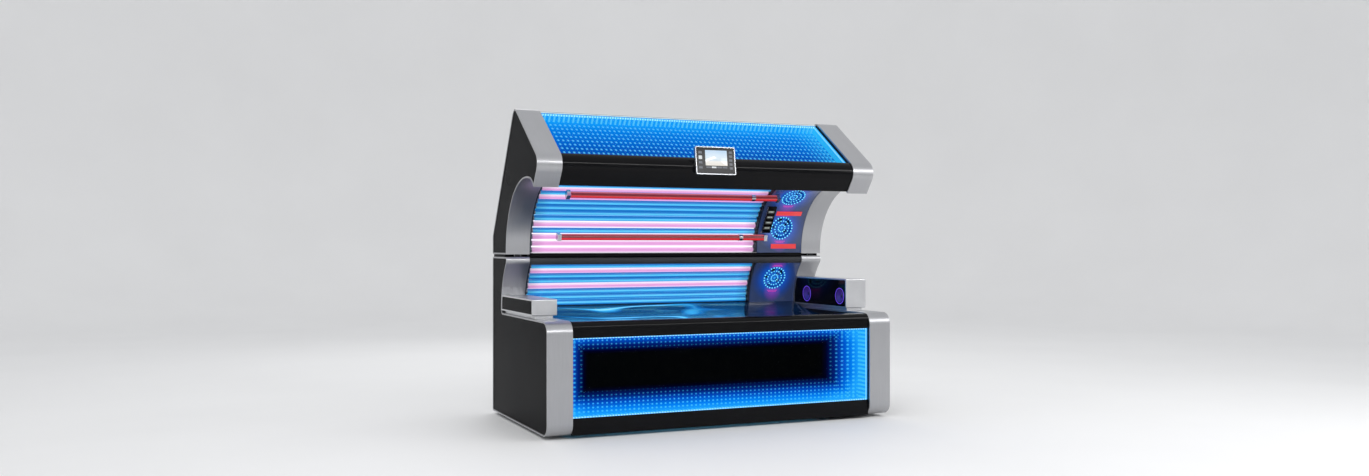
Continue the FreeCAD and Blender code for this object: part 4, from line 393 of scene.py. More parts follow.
def visor_window_light():
    """The visor's light box, its glow painted on: a full field of points, bright at the top, bars at
    the head end.
    """
    paint = light_box("visor_window_light")
    x = paint.axis("X")
    out = paint.num("SUBTRACT", paint.axis("Y"), VISOR_CORNER[0])
    up = paint.num("SUBTRACT", paint.axis("Z"), VISOR_CORNER[1])
    slope = paint.num("ADD", paint.num("MULTIPLY", out, VISOR_COS),
                      paint.num("MULTIPLY", up, VISOR_SIN))
    rise = paint.span(slope, VISOR_NEAR, VISOR_FAR, 0.0, 1.0)
    tone = paint.ramp(rise, [
        (0.0, (0.0, 0.025, 0.19)), (0.12, (0.0, 0.055, 0.36)), (0.45, (0.0, 0.12, 0.60)),
        (0.8, (0.0, 0.21, 0.80)), (1.0, (0.005, 0.34, 0.97))])
    points = dots(paint, x, slope, VISOR_POINTS, 0.66)
    lit = paint.mix(paint.num("MULTIPLY", points, paint.span(rise, 0.0, 1.0, 1.0, 0.9)),
                    tone, (0.12, 0.66, 1.0))
    side = paint.num("SUBTRACT", WINDOW_HALF, x)
    edge = paint.span(side, 0.0, VISOR_BAR_REACH, 0.8, 0.0)
    lit = paint.mix(paint.num("MULTIPLY", paint.wave(side, VISOR_BAR_PITCH), edge),
                    lit, (0.03, 0.55, 1.0))
    paint.set(Emission_Color=lit)
    return paint.mat


def led_strip(name):
    """A strip of light points along X behind a milky cover."""
    paint = Paint(name, Base_Color=grey(0.05), Roughness=0.3, Emission_Strength=1.3)
    paint.set(Emission_Color=paint.mix(paint.wave(paint.axis("X"), STRIP_PITCH),
                                       (0.0, 0.30, 0.95), (0.35, 0.80, 1.0)))
    return paint.mat


# Where along X the painted crescent reflections on the bench grow to full strength and fade away.
REFLECTION_START, REFLECTION_END = (-0.95, -0.55), (-0.05, 0.45)


def bench_surface():
    """Deep blue acrylic, gently contoured, with painted crescent reflections of the lamps that fade
    towards both ends.
    """
    paint = Paint("bench_surface", Coat_Weight=0.35, Coat_Roughness=0.015, Roughness=0.08,
                  IOR=1.40, Emission_Strength=1.0)
    contour = paint.noise(1.0, 1.0, 0.4, paint.stretched(2.6, 5.0, 5.0))
    ripple = paint.noise(1.0, 2.0, 0.5, paint.stretched(1.2, 9.0, 9.0))
    shade = paint.mix(paint.span(contour, 0.35, 0.68, 0.0, 1.0), (0.003, 0.008, 0.024),
                      (0.006, 0.030, 0.080))
    folds = paint.noise(1.0, 0.0, 0.5, paint.stretched(2.1, 4.6, 4.6))
    off = paint.num("ABSOLUTE", paint.num("SUBTRACT", folds, 0.5))
    line = paint.span(off, 0.0, 0.055, 1.0, 0.0)
    x = paint.axis("X")
    reach = paint.num("MULTIPLY", paint.span(x, *REFLECTION_START, 0.0, 1.0),
                      paint.span(x, *REFLECTION_END, 1.0, 0.0))
    lit = paint.ramp(paint.num("MULTIPLY", line, reach), [
        (0.0, (0.0, 0.004, 0.016)), (0.35, (0.0, 0.09, 0.30)), (0.75, (0.04, 0.42, 0.80)),
        (1.0, (0.38, 0.82, 1.0))])
    paint.set(Base_Color=shade, Emission_Color=lit,
              Normal=paint.bump(paint.num("ADD", contour, paint.num("MULTIPLY", ripple, 0.5)),
                                0.5, 0.03))
    return paint.mat


def nearness(paint, places, near, far):
    """1 within a distance of any of the places, fading to 0 further out."""
    lit = 0.0
    for place in places:
        distance = paint.node("ShaderNodeVectorMath", {0: paint.where, 1: place},
                              operation="DISTANCE").outputs["Value"]
        lit = paint.num("MAXIMUM", lit, paint.span(distance, near, far, 1.0, 0.0))
    return lit


# The head panels have a painted blue glow between two distances from each fan, and a painted
# violet reflection round a spot on each side of it. A fan's own mouldings have a painted glow
# from its middle outwards.
PANEL_PAINTED_GLOW = (0.080, 0.185)
VIOLET_AWAY, VIOLET_REACH = 0.112, 0.075
MOULDING_PAINTED_GLOW = (0.018, 0.110)


def beside(place, way, distance):
    """The points on both sides of a fan's centre, up and down the curved wall."""
    tangent = Vector(way).cross(Vector((1.0, 0.0, 0.0)))
    return [tuple(Vector(place) + tangent * distance * side) for side in (-1, 1)]


def panel_with_painted_glow(name, fans):
    """Navy panel round the fans with painted light: a blue glow near each of them, violet
    reflections above and below.
    """
    paint = Paint(name, Coat_Weight=0.4, Coat_Roughness=0.03, Roughness=0.2,
                  Emission_Strength=1.0)
    places = [FANS[fan][0] for fan in fans]
    ends = [end for fan in fans for end in beside(*FANS[fan][:2], VIOLET_AWAY)]
    cloud = paint.noise(5.0, 3.0)
    tone = paint.ramp(nearness(paint, places, *PANEL_PAINTED_GLOW), [
        (0.0, (0.020, 0.030, 0.072)), (0.40, (0.010, 0.034, 0.17)),
        (0.80, (0.004, 0.060, 0.38)), (1.0, (0.004, 0.11, 0.56))])
    violet = paint.num("MULTIPLY", nearness(paint, ends, 0.0, VIOLET_REACH), 0.55)
    tone = paint.mix(violet, tone, (0.36, 0.030, 0.42))
    paint.set(Base_Color=paint.mix(paint.span(cloud, *NOISE_RANGE, 0.0, 1.0),
                                   (0.006, 0.014, 0.045), (0.010, 0.028, 0.085)),
              Emission_Color=tone)
    return paint.mat


def fan_painted_glow(name, fans, near, far):
    """Dark moulding with the fan's blue light painted on it as a glow, brightest near the middle."""
    paint = Paint(name, Base_Color=(0.01, 0.015, 0.03), Roughness=0.4, Emission_Strength=1.0)
    places = [FANS[fan][0] for fan in fans]
    fine = paint.noise(260.0, 2.0)
    tone = paint.ramp(nearness(paint, places, *MOULDING_PAINTED_GLOW), [(0.0, far), (1.0, near)])
    paint.set(Emission_Color=paint.mix(paint.span(fine, *NOISE_RANGE, 0.0, 0.3), tone,
                                       tinted(near, 0.5)))
    return paint.mat


def red_tube():
    """Red glass: the long tubes have painted shading by the way the surface faces, a dark core
    between two lit lines, the upper one a painted sheen; the short bars glow.
    """
    paint = Paint("red_tube_glass", Coat_Weight=0.6, Coat_Roughness=0.02, Roughness=0.12,
                  Emission_Strength=1.0)
    side = paint.node("ShaderNodeTexCoord").outputs["Normal"]
    up = paint.node("ShaderNodeSeparateXYZ", {0: side}).outputs["Z"]
    cloud = paint.noise(1.0, 2.0, 0.5, paint.stretched(4.0, 120.0, 120.0))
    # Painted shading: bright red facing down, dark across the middle, a pale painted sheen facing
    # up.
    tone = paint.ramp(paint.span(up, -1.0, 1.0, 0.0, 1.0), [
        (0.0, (0.10, 0.006, 0.010)), (0.16, (0.78, 0.030, 0.040)), (0.30, (0.70, 0.022, 0.030)),
        (0.40, (0.16, 0.010, 0.016)), (0.72, (0.11, 0.012, 0.018)),
        (0.86, (0.62, 0.10, 0.12)), (1.0, (0.30, 0.10, 0.14))])
    bar = paint.num("GREATER_THAN", paint.axis("X"), RED_TUBE_END)
    tone = paint.mix(bar, tone, (0.80, 0.030, 0.035))
    paint.set(Base_Color=(0.06, 0.004, 0.006), Emission_Color=paint.mix(
        paint.span(cloud, *NOISE_RANGE, 0.0, 0.25), tone, (0.30, 0.012, 0.016)))
    return paint.mat


# The heights between which the painted glow on the speakers' cones and the display's picture
# change shade.
CONE_RISE = (0.750, 0.855)
PICTURE_RISE = (1.665, 1.765)
# Lit dashes on the keys: their pitch along X and how far they go each way from a key's middle.
DASH_PITCH, DASH_REACH = 0.0110, 0.0205
KEYPAD_STRIP = 0.007


def speaker_cone():
    """Black pressed paper with the light ring's blue and violet glow painted on it."""
    paint = Paint("speaker_cone_face", Base_Color=(0.012, 0.012, 0.026), Roughness=0.5,
                  Emission_Strength=1.0)
    weave = paint.noise(500.0, 2.0)
    high = paint.span(paint.axis("Z"), *CONE_RISE, 0.0, 1.0)
    paint.set(Emission_Color=paint.mix(high, (0.010, 0.012, 0.20), (0.030, 0.008, 0.12)),
              Normal=paint.bump(weave, 0.3, 0.0006))
    return paint.mat


def display_glass():
    """The picture area: a plain sky-like wash, cool at the top and warm at the foot."""
    paint = Paint("display_picture", Base_Color=grey(0.02), Roughness=0.12,
                  Coat_Weight=1.0, Coat_Roughness=0.02, Emission_Strength=1.0)
    z = paint.axis("Z")
    cloud = paint.noise(1.0, 3.0, 0.5, paint.stretched(9.0, 9.0, 30.0))
    tone = paint.ramp(paint.span(z, *PICTURE_RISE, 0.0, 1.0), [
        (0.0, (0.80, 0.76, 0.68)), (0.32, (0.88, 0.86, 0.82)), (0.40, (0.62, 0.74, 0.82)),
        (0.62, (0.70, 0.82, 0.92)), (1.0, (0.50, 0.68, 0.88))])
    paint.set(Emission_Color=paint.mix(paint.span(cloud, 0.4, 0.7, 0.0, 0.22), tone,
                                       (0.95, 0.97, 1.0)))
    return paint.mat


def key_face():
    """Black key caps, each with a row of short lit dashes across its middle."""
    paint = Paint("key_face", Roughness=0.4, Emission_Strength=1.0)
    across = paint.num("SUBTRACT", paint.axis("X"), KEY_FIRST[0])
    rise = paint.num("SUBTRACT", paint.axis("Z"), KEY_FIRST[1])
    fine = paint.noise(900.0, 2.0)
    mark = paint.num("MULTIPLY",
                     paint.span(paint.wave(rise, KEY_PITCH), 0.81, 0.90, 0.0, 1.0),
                     paint.span(paint.wave(across, DASH_PITCH), 0.25, 0.40, 0.0, 1.0))
    reached = paint.num("LESS_THAN", paint.num("ABSOLUTE", across), DASH_REACH)
    mark = paint.num("MULTIPLY", mark, reached)
    paint.set(Base_Color=paint.mix(paint.span(fine, *NOISE_RANGE, 0.0, 1.0), grey(0.050),
                                   grey(0.066)),
              Emission_Color=paint.mix(mark, grey(0.0), (0.46, 0.52, 0.48)),
              Normal=paint.bump(fine, 0.15, 0.0004))
    return paint.mat


def keypad_body():
    """Black keypad with a ground silver strip along its foot-end edge."""
    paint = Paint("keypad_face", Specular_IOR_Level=0.15)
    edge = paint.num("LESS_THAN", paint.axis("X"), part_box("keypad")[0][0] + KEYPAD_STRIP)
    cloud = paint.noise(60.0, 3.0)
    black = paint.mix(paint.span(cloud, *NOISE_RANGE, 0.0, 1.0), grey(0.003), grey(0.005))
    paint.set(Base_Color=paint.mix(edge, black, (0.62, 0.64, 0.68)), Metallic=edge,
              Roughness=paint.span(cloud, *NOISE_RANGE, 0.12, 0.20))
    return paint.mat


# The finish of each CAD material slot.
FINISH = {
    "band": satin_metal("band_aluminium", (0.43, 0.433, 0.448), 0.34),
    "gloss_black": lacquer("black_lacquer", (0.0012, 0.0012, 0.0018), 0.10, 0.14),
    "frame_steel": powder_coat("frame_coat", (0.007, 0.008, 0.010), 0.5),
    "rear_paint": powder_coat("rear_coat", (0.045, 0.047, 0.052), 0.5),
    "feet_rubber": moulded("feet_rubber_face", (0.012, 0.012, 0.012), 0.75, 700.0, 0.3),
    "window_glass": clear_sheet("window_sheet", (0.96, 0.98, 1.0), 0.0, 1.02),
    "acrylic_blue": bench_surface(),
    "acrylic_clear": clear_sheet("tunnel_sheet", (0.96, 0.985, 1.0), 0.05, 1.06),
    "lamp": lacquer("idle_lamp_glass", (0.055, 0.075, 0.13), 0.12, 0.3),
    "holder_white": moulded("holder_moulding", (0.030, 0.036, 0.055), 0.42),
    "navy_panel": panel_with_painted_glow("navy_panel_face", ["canopy_low", "canopy_high"]),
    "fan_black": moulded("fan_moulding", (0.014, 0.015, 0.020), 0.45),
    "rotor_black": moulded("rotor_moulding", (0.020, 0.022, 0.028), 0.35),
    "column_steel": bright_metal("column_ground", (0.52, 0.53, 0.55), 0.22),
    "pin_steel": bright_metal("pin_ground", (0.55, 0.55, 0.56), 0.25, (500.0, 30.0, 30.0)),
    "rod_steel": bright_metal("rod_chrome", (0.74, 0.75, 0.77), 0.10),
    "pod_silver": satin_metal("pod_wrap", (0.66, 0.665, 0.68), 0.30, (9.0, 260.0, 9.0)),
    "black_glass": lacquer("smoked_glass", (0.0015, 0.0015, 0.0030), 0.05, 0.10),
    "speaker_black": speaker_cone(),
    "tray_zinc": bright_metal("tray_galvanised", (0.50, 0.51, 0.52), 0.42, (40.0, 40.0, 40.0)),
    "panel_silver": satin_metal("panel_frame", (0.40, 0.41, 0.43), 0.26, (9.0, 9.0, 340.0)),
    "screen": lacquer("display_bezel", (0.003, 0.003, 0.004), 0.08, 0.12),
    "red_glass": red_tube(),
    "mount_chrome": bright_metal("mount_plated", (0.46, 0.47, 0.50), 0.16),
    "key_grey": key_face()}


def dress():
    """Give every CAD node the finish of its material slot, and some a finish of their own."""
    cheek = lacquer("cheek_lacquer", (0.0042, 0.0042, 0.0050), 0.22, 0.010)
    # The painted blue glow near a fan's middle and far from it, on its blades and on its housing.
    rotor = (0.003, 0.14, 0.62), (0.001, 0.07, 0.42)
    shell = (0.002, 0.090, 0.48), (0.001, 0.040, 0.28)
    own = {
        "left_lower_side_panel": cheek, "right_lower_side_panel": cheek,
        "left_canopy_side_panel": cheek, "right_canopy_side_panel": cheek,
        "foot_pod_inset": cheek,
        "keypad": keypad_body(),
        "wall_head_panel": panel_with_painted_glow("wall_panel_face", ["wall"]),
        "wall_fan_housing": fan_painted_glow("wall_fan_shell", ["wall"], *shell),
        "wall_fan_rotor": fan_painted_glow("wall_fan_blades", ["wall"], *rotor),
        "canopy_fan_housings": fan_painted_glow("canopy_fan_shells", ["canopy_low", "canopy_high"],
                                        *shell),
        "canopy_low_fan_rotor": fan_painted_glow("low_fan_blades", ["canopy_low"], *rotor),
        "canopy_high_fan_rotor": fan_painted_glow("high_fan_blades", ["canopy_high"], *rotor),
        "front_light_tray": front_window_light(),
        "visor_light_tray": visor_window_light(),
        "front_light_strips": led_strip("front_strip_light"),
        "visor_light_strips": led_strip("visor_strip_light"),
        "canopy_reflector": reflector_painted_glow("canopy_reflector_light", CANOPY_ROWS, CANOPY_AXIS,
                                          CANOPY_FIRST, CANOPY_STEP),
        "lower_reflectors": reflector_painted_glow("wall_reflector_light", WALL_ROWS, WALL_AXIS,
                                          WALL_FIRST, WALL_STEP)}
    for name, obj in NODES.items():
        for slot in obj.material_slots:
            key = slot.material.name.split(".")[0]
            slot.material = own.get(name) or FINISH[key]


dress()


# ---- Pieces ----------------------------------------------------------------------------------

# Turns a lathe's axis from Z to X.
X_WAY = Matrix(((0, 0, 1, 0), (1, 0, 0, 0), (0, 1, 0, 0), (0, 0, 0, 1)))


def facing(place, way):
    """A frame at a place with its local Z along a direction and its local X along world X."""
    z = Vector(way).normalized()
    x = Vector((1.0, 0.0, 0.0))
    y = z.cross(x)
    turn = Matrix((x, y, z)).transposed().to_4x4()
    return Matrix.Translation(place) @ turn


def lathe(bm, place, profile, segments, spans=None):
    """Turn a profile of (height, radius) points about a frame's local Z axis. The spans are the
    material index of each band between two points."""
    rings = []
    for height, radius in profile:
        if radius < 1e-6:
            rings.append([bm.verts.new(place @ Vector((0.0, 0.0, height)))])
            continue
        rings.append([bm.verts.new(place @ Vector((
            radius * math.cos(2 * math.pi * k / segments),
            radius * math.sin(2 * math.pi * k / segments), height)))
            for k in range(segments)])
    for i, (low, high) in enumerate(zip(rings, rings[1:])):
        for k in range(segments):
            n = (k + 1) % segments
            around = (low[k % len(low)], low[n % len(low)], high[n % len(high)],
                      high[k % len(high)])
            face = bm.faces.new(list(dict.fromkeys(around)))
            face.material_index = spans[i] if spans else 0
    bmesh.ops.remove_doubles(bm, verts=[v for ring in rings for v in ring], dist=1e-6)


def rounded(width, height, radius, steps=4):
    """The outline of a rectangle with round corners, about its centre."""
    points = []
    for cx, cy, first in ((1, 1, 0), (-1, 1, 90), (-1, -1, 180), (1, -1, 270)):
        for step in range(steps + 1):
            turn = math.radians(first + 90 * step / steps)
            points.append((cx * (width / 2 - radius) + radius * math.cos(turn),
                           cy * (height / 2 - radius) + radius * math.sin(turn)))
    return points


def plate(bm, place, width, height, depth, radius, edge, floor=0.0, index=0):
    """A plate with round corners and a softened front edge. Its back lies at the floor and its
    front at the depth, both along local Z."""
    levels = [(floor, 0.0), (depth - edge, 0.0), (depth - edge * 0.3, edge * 0.3), (depth, edge)]
    loops = []
    for level, shrink in levels:
        outline = rounded(width - 2 * shrink, height - 2 * shrink, max(radius - shrink, 1e-4))
        loops.append([bm.verts.new(place @ Vector((x, y, level))) for x, y in outline])
    total = len(loops[0])
    made = [bm.faces.new(list(reversed(loops[0]))), bm.faces.new(loops[-1])]
    for low, high in zip(loops, loops[1:]):
        for k in range(total):
            n = (k + 1) % total
            made.append(bm.faces.new((low[k], low[n], high[n], high[k])))
    for face in made:
        face.material_index = index


def sweep_along_x(bm, section, low, high):
    """A closed (y, z) section swept along X, with flat ends."""
    loops = [[bm.verts.new((x, y, z)) for y, z in section] for x in (low, high)]
    total = len(section)
    bm.faces.new(list(reversed(loops[0])))
    bm.faces.new(loops[1])
    for k in range(total):
        n = (k + 1) % total
        bm.faces.new((loops[0][k], loops[0][n], loops[1][n], loops[1][k]))


def piece(name, bm, materials, body, sharp=38.0):
    """Make a bmesh a piece of the object that rides on a body, with the given materials."""
    bmesh.ops.recalc_face_normals(bm, faces=bm.faces)
    mesh = bpy.data.meshes.new(name)
    bm.to_mesh(mesh)
    bm.free()
    for mat in materials:
        mesh.materials.append(mat)
    for polygon in mesh.polygons:
        polygon.use_smooth = True
    mesh.set_sharp_from_angle(angle=math.radians(sharp))
    obj = bpy.data.objects.new(name, mesh)
    bpy.context.scene.collection.objects.link(obj)
    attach(obj, body)
    return obj


CAP_METAL = bright_metal("lamp_cap_metal", (0.22, 0.22, 0.24), 0.30, (600.0, 30.0, 30.0))
CAP_BASE = moulded("lamp_cap_insulator", (0.035, 0.037, 0.045), 0.5)
LED_CYAN = glow("led_cyan", (0.16, 0.72, 1.0), 1.3, 400.0)
LED_DIM = glow("led_dim", (0.04, 0.36, 0.86), 1.0, 400.0)
LED_CARRIER = glow("led_carrier", (0.001, 0.075, 0.44), 1.0, 300.0)
EDGE_GLOW = glow("pale_edge_glow", (0.70, 0.88, 0.95), 1.0, 300.0)
LED_VIOLET = glow("led_violet", (0.16, 0.07, 0.92), 1.2, 300.0)
MAGENTA_GLINT = glow("magenta_glint", (0.70, 0.05, 0.42), 1.0, 300.0)
SEAL_RUBBER = lacquer("seal_rubber", (0.003, 0.003, 0.004), 0.5, 0.08)
SCREW_STEEL = bright_metal("screw_zinc", (0.42, 0.42, 0.44), 0.3, (200.0, 200.0, 200.0))


# One end of a lamp's outline, as (distance from the end, radius): the insulating disc, the crimped
# cap and the neck of the glass. The kinds are the materials of the bands between these points.
LAMP_END = [(0.0, 0.0), (0.0, 0.0172), (0.0010, 0.0182), (0.0080, 0.0184), (0.0086, 0.0178),
            (0.0096, 0.0178), (0.0102, 0.0184), (0.0112, 0.0170), (0.0140, 0.0184),
            (0.0175, LAMP_RADIUS)]
GLASS, BASE, CAP, PINK_GLASS = range(4)
LAMP_KINDS = [BASE, CAP, CAP, CAP, CAP, CAP, GLASS, GLASS, GLASS]


def lamp_row(name, centres, colours, node, body, materials):
    """Tubular lamps with crimped metal caps and necked glass, one for each centre."""
    bm = bmesh.new()
    length = LAMP_HIGH - LAMP_LOW
    profile = LAMP_END + [(length - h, r) for h, r in reversed(LAMP_END)]
    for (y, z), colour in zip(centres, colours):
        shade = PINK_GLASS if colour == "P" else GLASS
        spans = [shade if kind == GLASS else kind for kind in LAMP_KINDS]
        place = Matrix.Translation((LAMP_LOW, y, z)) @ X_WAY
        lathe(bm, place, profile, segments=16, spans=spans + [shade] + list(reversed(spans)))
    obj = piece(name, bm, materials, body, 60.0)
    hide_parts(node)


def tunnel_lamps():
    """The canopy's and the wall's lamps, in place of the twelve-sided rods of the CAD."""
    def ring(axis, radius, first, step, total):
        turns = [math.radians(first + step * i) for i in range(total)]
        return [(axis[0] + radius * math.cos(turn), axis[1] + radius * math.sin(turn))
                for turn in turns]

    for name, rows, axis, radius, first, step, body in (
            ("canopy", CANOPY_ROWS, CANOPY_AXIS, CANOPY_LAMP_CIRCLE, CANOPY_FIRST,
             CANOPY_STEP, "canopy"),
            ("wall", WALL_ROWS, WALL_AXIS, WALL_LAMP_CIRCLE, WALL_FIRST, WALL_STEP, "base")):
        blue = lamp_tube(name + "_lamp_blue", BLUE_LAMP, axis, first, step)
        pink = lamp_tube(name + "_lamp_pink", PINK_LAMP, axis, first, step)
        lamp_row(name + "_tubes", ring(axis, radius, first, step, len(rows)), rows,
                 name + "_lamps", body, [blue, CAP_BASE, CAP_METAL, pink])


def dome(bm, place, size, kind):
    """One light point: a small faceted dome on a local XY plane."""
    profile = [(-0.0006, size), (size * 0.25, size * 0.92), (size * 0.5, size * 0.6),
               (size * 0.6, 0.0)]
    lathe(bm, place, profile, segments=8, spans=[kind] * 3)


# Rings of light points over a grille: radius, number of points, size of a point. Each ring's
# carrier is a flat hoop that the points stand on. The hub's outline is (height, radius).
FAN_RINGS = ((0.0270, 11, 0.0052), (0.0560, 17, 0.0052), (0.0840, 24, 0.0056))
CARRIER_HALF_WIDTH, CARRIER_HALF_DEPTH = 0.0030, 0.0010
POINT_SEAT = 0.0012
FAN_HUB = [(-0.0030, 0.0), (-0.0030, 0.0110), (0.0004, 0.0110), (0.0010, 0.0095), (0.0010, 0.0)]


def fan_lights():
    """Rings of light points over the grilles, each ring on a thin lit carrier."""
    for name, (place, way, body) in FANS.items():
        frame_at = facing(place, way)
        bm = bmesh.new()
        for radius, total, size in FAN_RINGS:
            inner, outer = radius - CARRIER_HALF_WIDTH, radius + CARRIER_HALF_WIDTH
            hoop = [(-CARRIER_HALF_DEPTH, inner), (CARRIER_HALF_DEPTH, inner),
                    (CARRIER_HALF_DEPTH, outer), (-CARRIER_HALF_DEPTH, outer),
                    (-CARRIER_HALF_DEPTH, inner)]
            lathe(bm, frame_at, hoop, segments=40)
            for k in range(total):
                turn = 2 * math.pi * k / total
                dome(bm, frame_at @ Matrix.Translation((
                    radius * math.cos(turn), radius * math.sin(turn), POINT_SEAT)), size, 1)
        lathe(bm, frame_at, FAN_HUB, segments=24, spans=[0, 0, 0, 2])
        piece(name + "_fan_lights", bm, [LED_CARRIER, LED_CYAN, LED_DIM], body)


# Painted magenta reflections beside the fans, as rows of glowing points: the radius of the panel's
# face about its tunnel axis, and rows of (distance from the fan's middle along the panel, number of
# points).
GLINT_FACES = {"canopy_low": (CANOPY_AXIS, 0.4640), "canopy_high": (CANOPY_AXIS, 0.4640),
               "wall": (WALL_AXIS, 0.4370)}
GLINT_ROWS = ((0.1010, 9), (0.1090, 7))
GLINT_PITCH, GLINT_SIZE = 0.0095, 0.0032


def fan_glints():
    """Short rows of glowing magenta points on the head panels, on two sides of each fan: painted
    reflections of the pink lamps.
    """
    for name, (axis, radius) in GLINT_FACES.items():
        place, way, body = FANS[name]
        middle = math.atan2(-way[2], -way[1])
        bm = bmesh.new()
        for side in (-1, 1):
            for row, total in GLINT_ROWS:
                turn = middle + side * row / radius
                out = Vector((0.0, math.cos(turn), math.sin(turn)))
                for k in range(total):
                    x = place[0] + GLINT_PITCH * (k - (total - 1) / 2)
                    centre = Vector((x, axis[0], axis[1])) + out * radius
                    dome(bm, facing(centre, -out), GLINT_SIZE, 0)
        piece(name + "_glint_points", bm, [MAGENTA_GLINT], body)


# The display, from its middle: the picture's x, y, width and height, then the fields round it as
# first x and y, step in x and y, width, height and number. The second field of the lower row and
# of the left column is lit, and the one on the left is taller.
PICTURE = (0.0045, 0.0172, 0.155, 0.1005)
LOWER_FIELDS = (-0.0535, -0.0445, 0.0388, 0.0, 0.034, 0.0105, 4)
LEFT_FIELDS = (-0.1085, 0.052, 0.0, -0.033, 0.024, 0.0165, 4)
RIGHT_FIELDS = (0.1080, 0.056, 0.0, -0.0262, 0.021, 0.0155, 5)
LIT_FIELD, LIT_LEFT_HEIGHT = 1, 0.0235
# Depth, corner radius, edge and the depth of the back below the display's face.
FIELD_FORM = (0.0008, 0.002, 0.0003, -0.0004)


def display():
    """The touch display: its picture and the plain fields round it, without signs."""
    at = facing(PANEL_CENTRE, PANEL_NORMAL)

    def field(x, y, width, height, kind):
        place = at @ Matrix.Translation((x, y, 0.0))
        plate(bm, place, width, height, *FIELD_FORM, kind)

    bm = bmesh.new()
    field(*PICTURE, 0)
    for group in (LOWER_FIELDS, LEFT_FIELDS, RIGHT_FIELDS):
        x, y, step_x, step_y, width, height, total = group
        for i in range(total):
            lit = i == LIT_FIELD and group is not RIGHT_FIELDS
            tall = LIT_LEFT_HEIGHT if lit and group is LEFT_FIELDS else height
            field(x + step_x * i, y + step_y * i, width, tall, 2 if lit else 1)
    soft = glow("display_field", (0.13, 0.14, 0.16), 1.0, 500.0)
    bright = glow("display_field_lit", (0.62, 0.66, 0.68), 1.0, 500.0)
    piece("display_face", bm, [display_glass(), soft, bright], "canopy")


SPEAKER_X, SPEAKER_YS, SPEAKER_Z = 1.0430, (-0.246, 0.206), 0.802
# Each ring's radius, half thickness and material, and the dust cap's outline.
SPEAKER_RINGS = ((0.0545, 0.0016, 0), (0.0470, 0.0026, 1))
DUST_CAP = [(0.0085, 0.0), (0.0088, 0.0042), (0.0105, 0.0088), (0.0135, 0.0110)]


def speaker_rings():
    """A lit ring, a rolled surround and a dust cap for each speaker."""
    bm = bmesh.new()
    for y in SPEAKER_YS:
        place = Matrix.Translation((SPEAKER_X, y, SPEAKER_Z)) @ X_WAY
        for radius, thick, kind in SPEAKER_RINGS:
            turns = [math.radians(a) for a in range(0, 361, 45)]
            circle = [(thick * math.cos(turn), radius + thick * math.sin(turn))
                      for turn in turns]
            lathe(bm, place, circle, segments=44, spans=[kind] * 8)
        lathe(bm, place, DUST_CAP, segments=24, spans=[2, 2, 2])
    cap_paint = lacquer("dust_cap", (0.01, 0.02, 0.07), 0.1)
    piece("speaker_lights", bm, [LED_VIOLET, FINISH["feet_rubber"], cap_paint], "base")


SEAL_RADIUS, SEAL_BEVEL = 0.0155, 0.001
# The strips on top of the lower cheeks: the middle of the right one's foot, and width, length,
# height, corner radius and edge.
STRIP_PLACE = (1.120, 0.467, 1.0780)
STRIP_FORM = (0.152, 0.296, 0.0172, 0.004, 0.0015)


def seals():
    """The black light seal along the hinge line, and the strips on top of the lower cheeks."""
    bm = bmesh.new()
    length, narrow = 2 * WINDOW_HALF, SEAL_RADIUS - SEAL_BEVEL
    profile = [(0.0, 0.0), (0.0, narrow), (SEAL_BEVEL, SEAL_RADIUS),
               (length - SEAL_BEVEL, SEAL_RADIUS), (length, narrow), (length, 0.0)]
    lathe(bm, Matrix.Translation((-WINDOW_HALF, *HINGE)) @ X_WAY, profile, segments=20)
    x, y, z = STRIP_PLACE
    for side in (-1, 1):
        plate(bm, Matrix.Translation((side * x, y, z)), *STRIP_FORM)
    piece("split_seals", bm, [SEAL_RUBBER], "base")


# A pan head's outline with its recess, the face of the rear covers that it sits on, and the
# screws' places: nine along each long edge, three up each short edge of the lower cover.
SCREW_HEAD = [(0.0, 0.0), (0.0, 0.0058), (0.0012, 0.0058), (0.0026, 0.0044), (0.0031, 0.0022),
              (0.0014, 0.0018), (0.0014, 0.0)]
SCREW_Y = 0.6225
LONG_EDGE = [-1.0 + 0.25 * i for i in range(9)]
LOWER_SCREWS = [(x, z) for x in LONG_EDGE for z in (0.085, 1.035)]
LOWER_SCREWS += [(x, z) for x in (-1.018, 1.018) for z in (0.30, 0.55, 0.80)]
CANOPY_SCREWS = [(x, 1.150) for x in LONG_EDGE]


def screws():
    """Pan-head screws along the edges of the two rear covers."""
    for name, places, body in (("lower_cover_screws", LOWER_SCREWS, "base"),
                               ("canopy_cover_screws", CANOPY_SCREWS, "canopy")):
        bm = bmesh.new()
        for x, z in places:
            lathe(bm, facing((x, SCREW_Y, z), (0.0, 1.0, 0.0)), SCREW_HEAD, segments=12)
        piece(name, bm, [SCREW_STEEL], body)


LOUVRES, LOUVRE_FIRST, LOUVRE_PITCH = 7, 0.300, 0.032
LOUVRE_ENDS = (0.562, 0.978)
# One hood's (y, height above its slot's foot), down its outside and back up its inside.
HOOD = [(0.6226, 0.0165), (0.6252, 0.0155), (0.6276, 0.0128), (0.6286, 0.0090),
        (0.6288, 0.0045), (0.6274, 0.0045), (0.6272, 0.0088), (0.6262, 0.0118), (0.6226, 0.0138)]


def louvre_hoods():
    """Pressed hoods over the louvre slots of the lower rear cover."""
    bm = bmesh.new()
    for i in range(LOUVRES):
        floor = LOUVRE_FIRST + LOUVRE_PITCH * i
        sweep_along_x(bm, [(y, floor + up) for y, up in HOOD], *LOUVRE_ENDS)
    piece("louvre_hoods", bm, [FINISH["rear_paint"]], "base")


# The glowing edge's outline as (distance up the visor's slope, height off it).
GLOWING_EDGE = [(0.6420, -0.0252), (0.6478, -0.0252), (0.6478, -0.0228), (0.6470, -0.0222),
               (0.6426, -0.0222), (0.6420, -0.0228)]
EDGE_HALF = WINDOW_HALF - 0.001


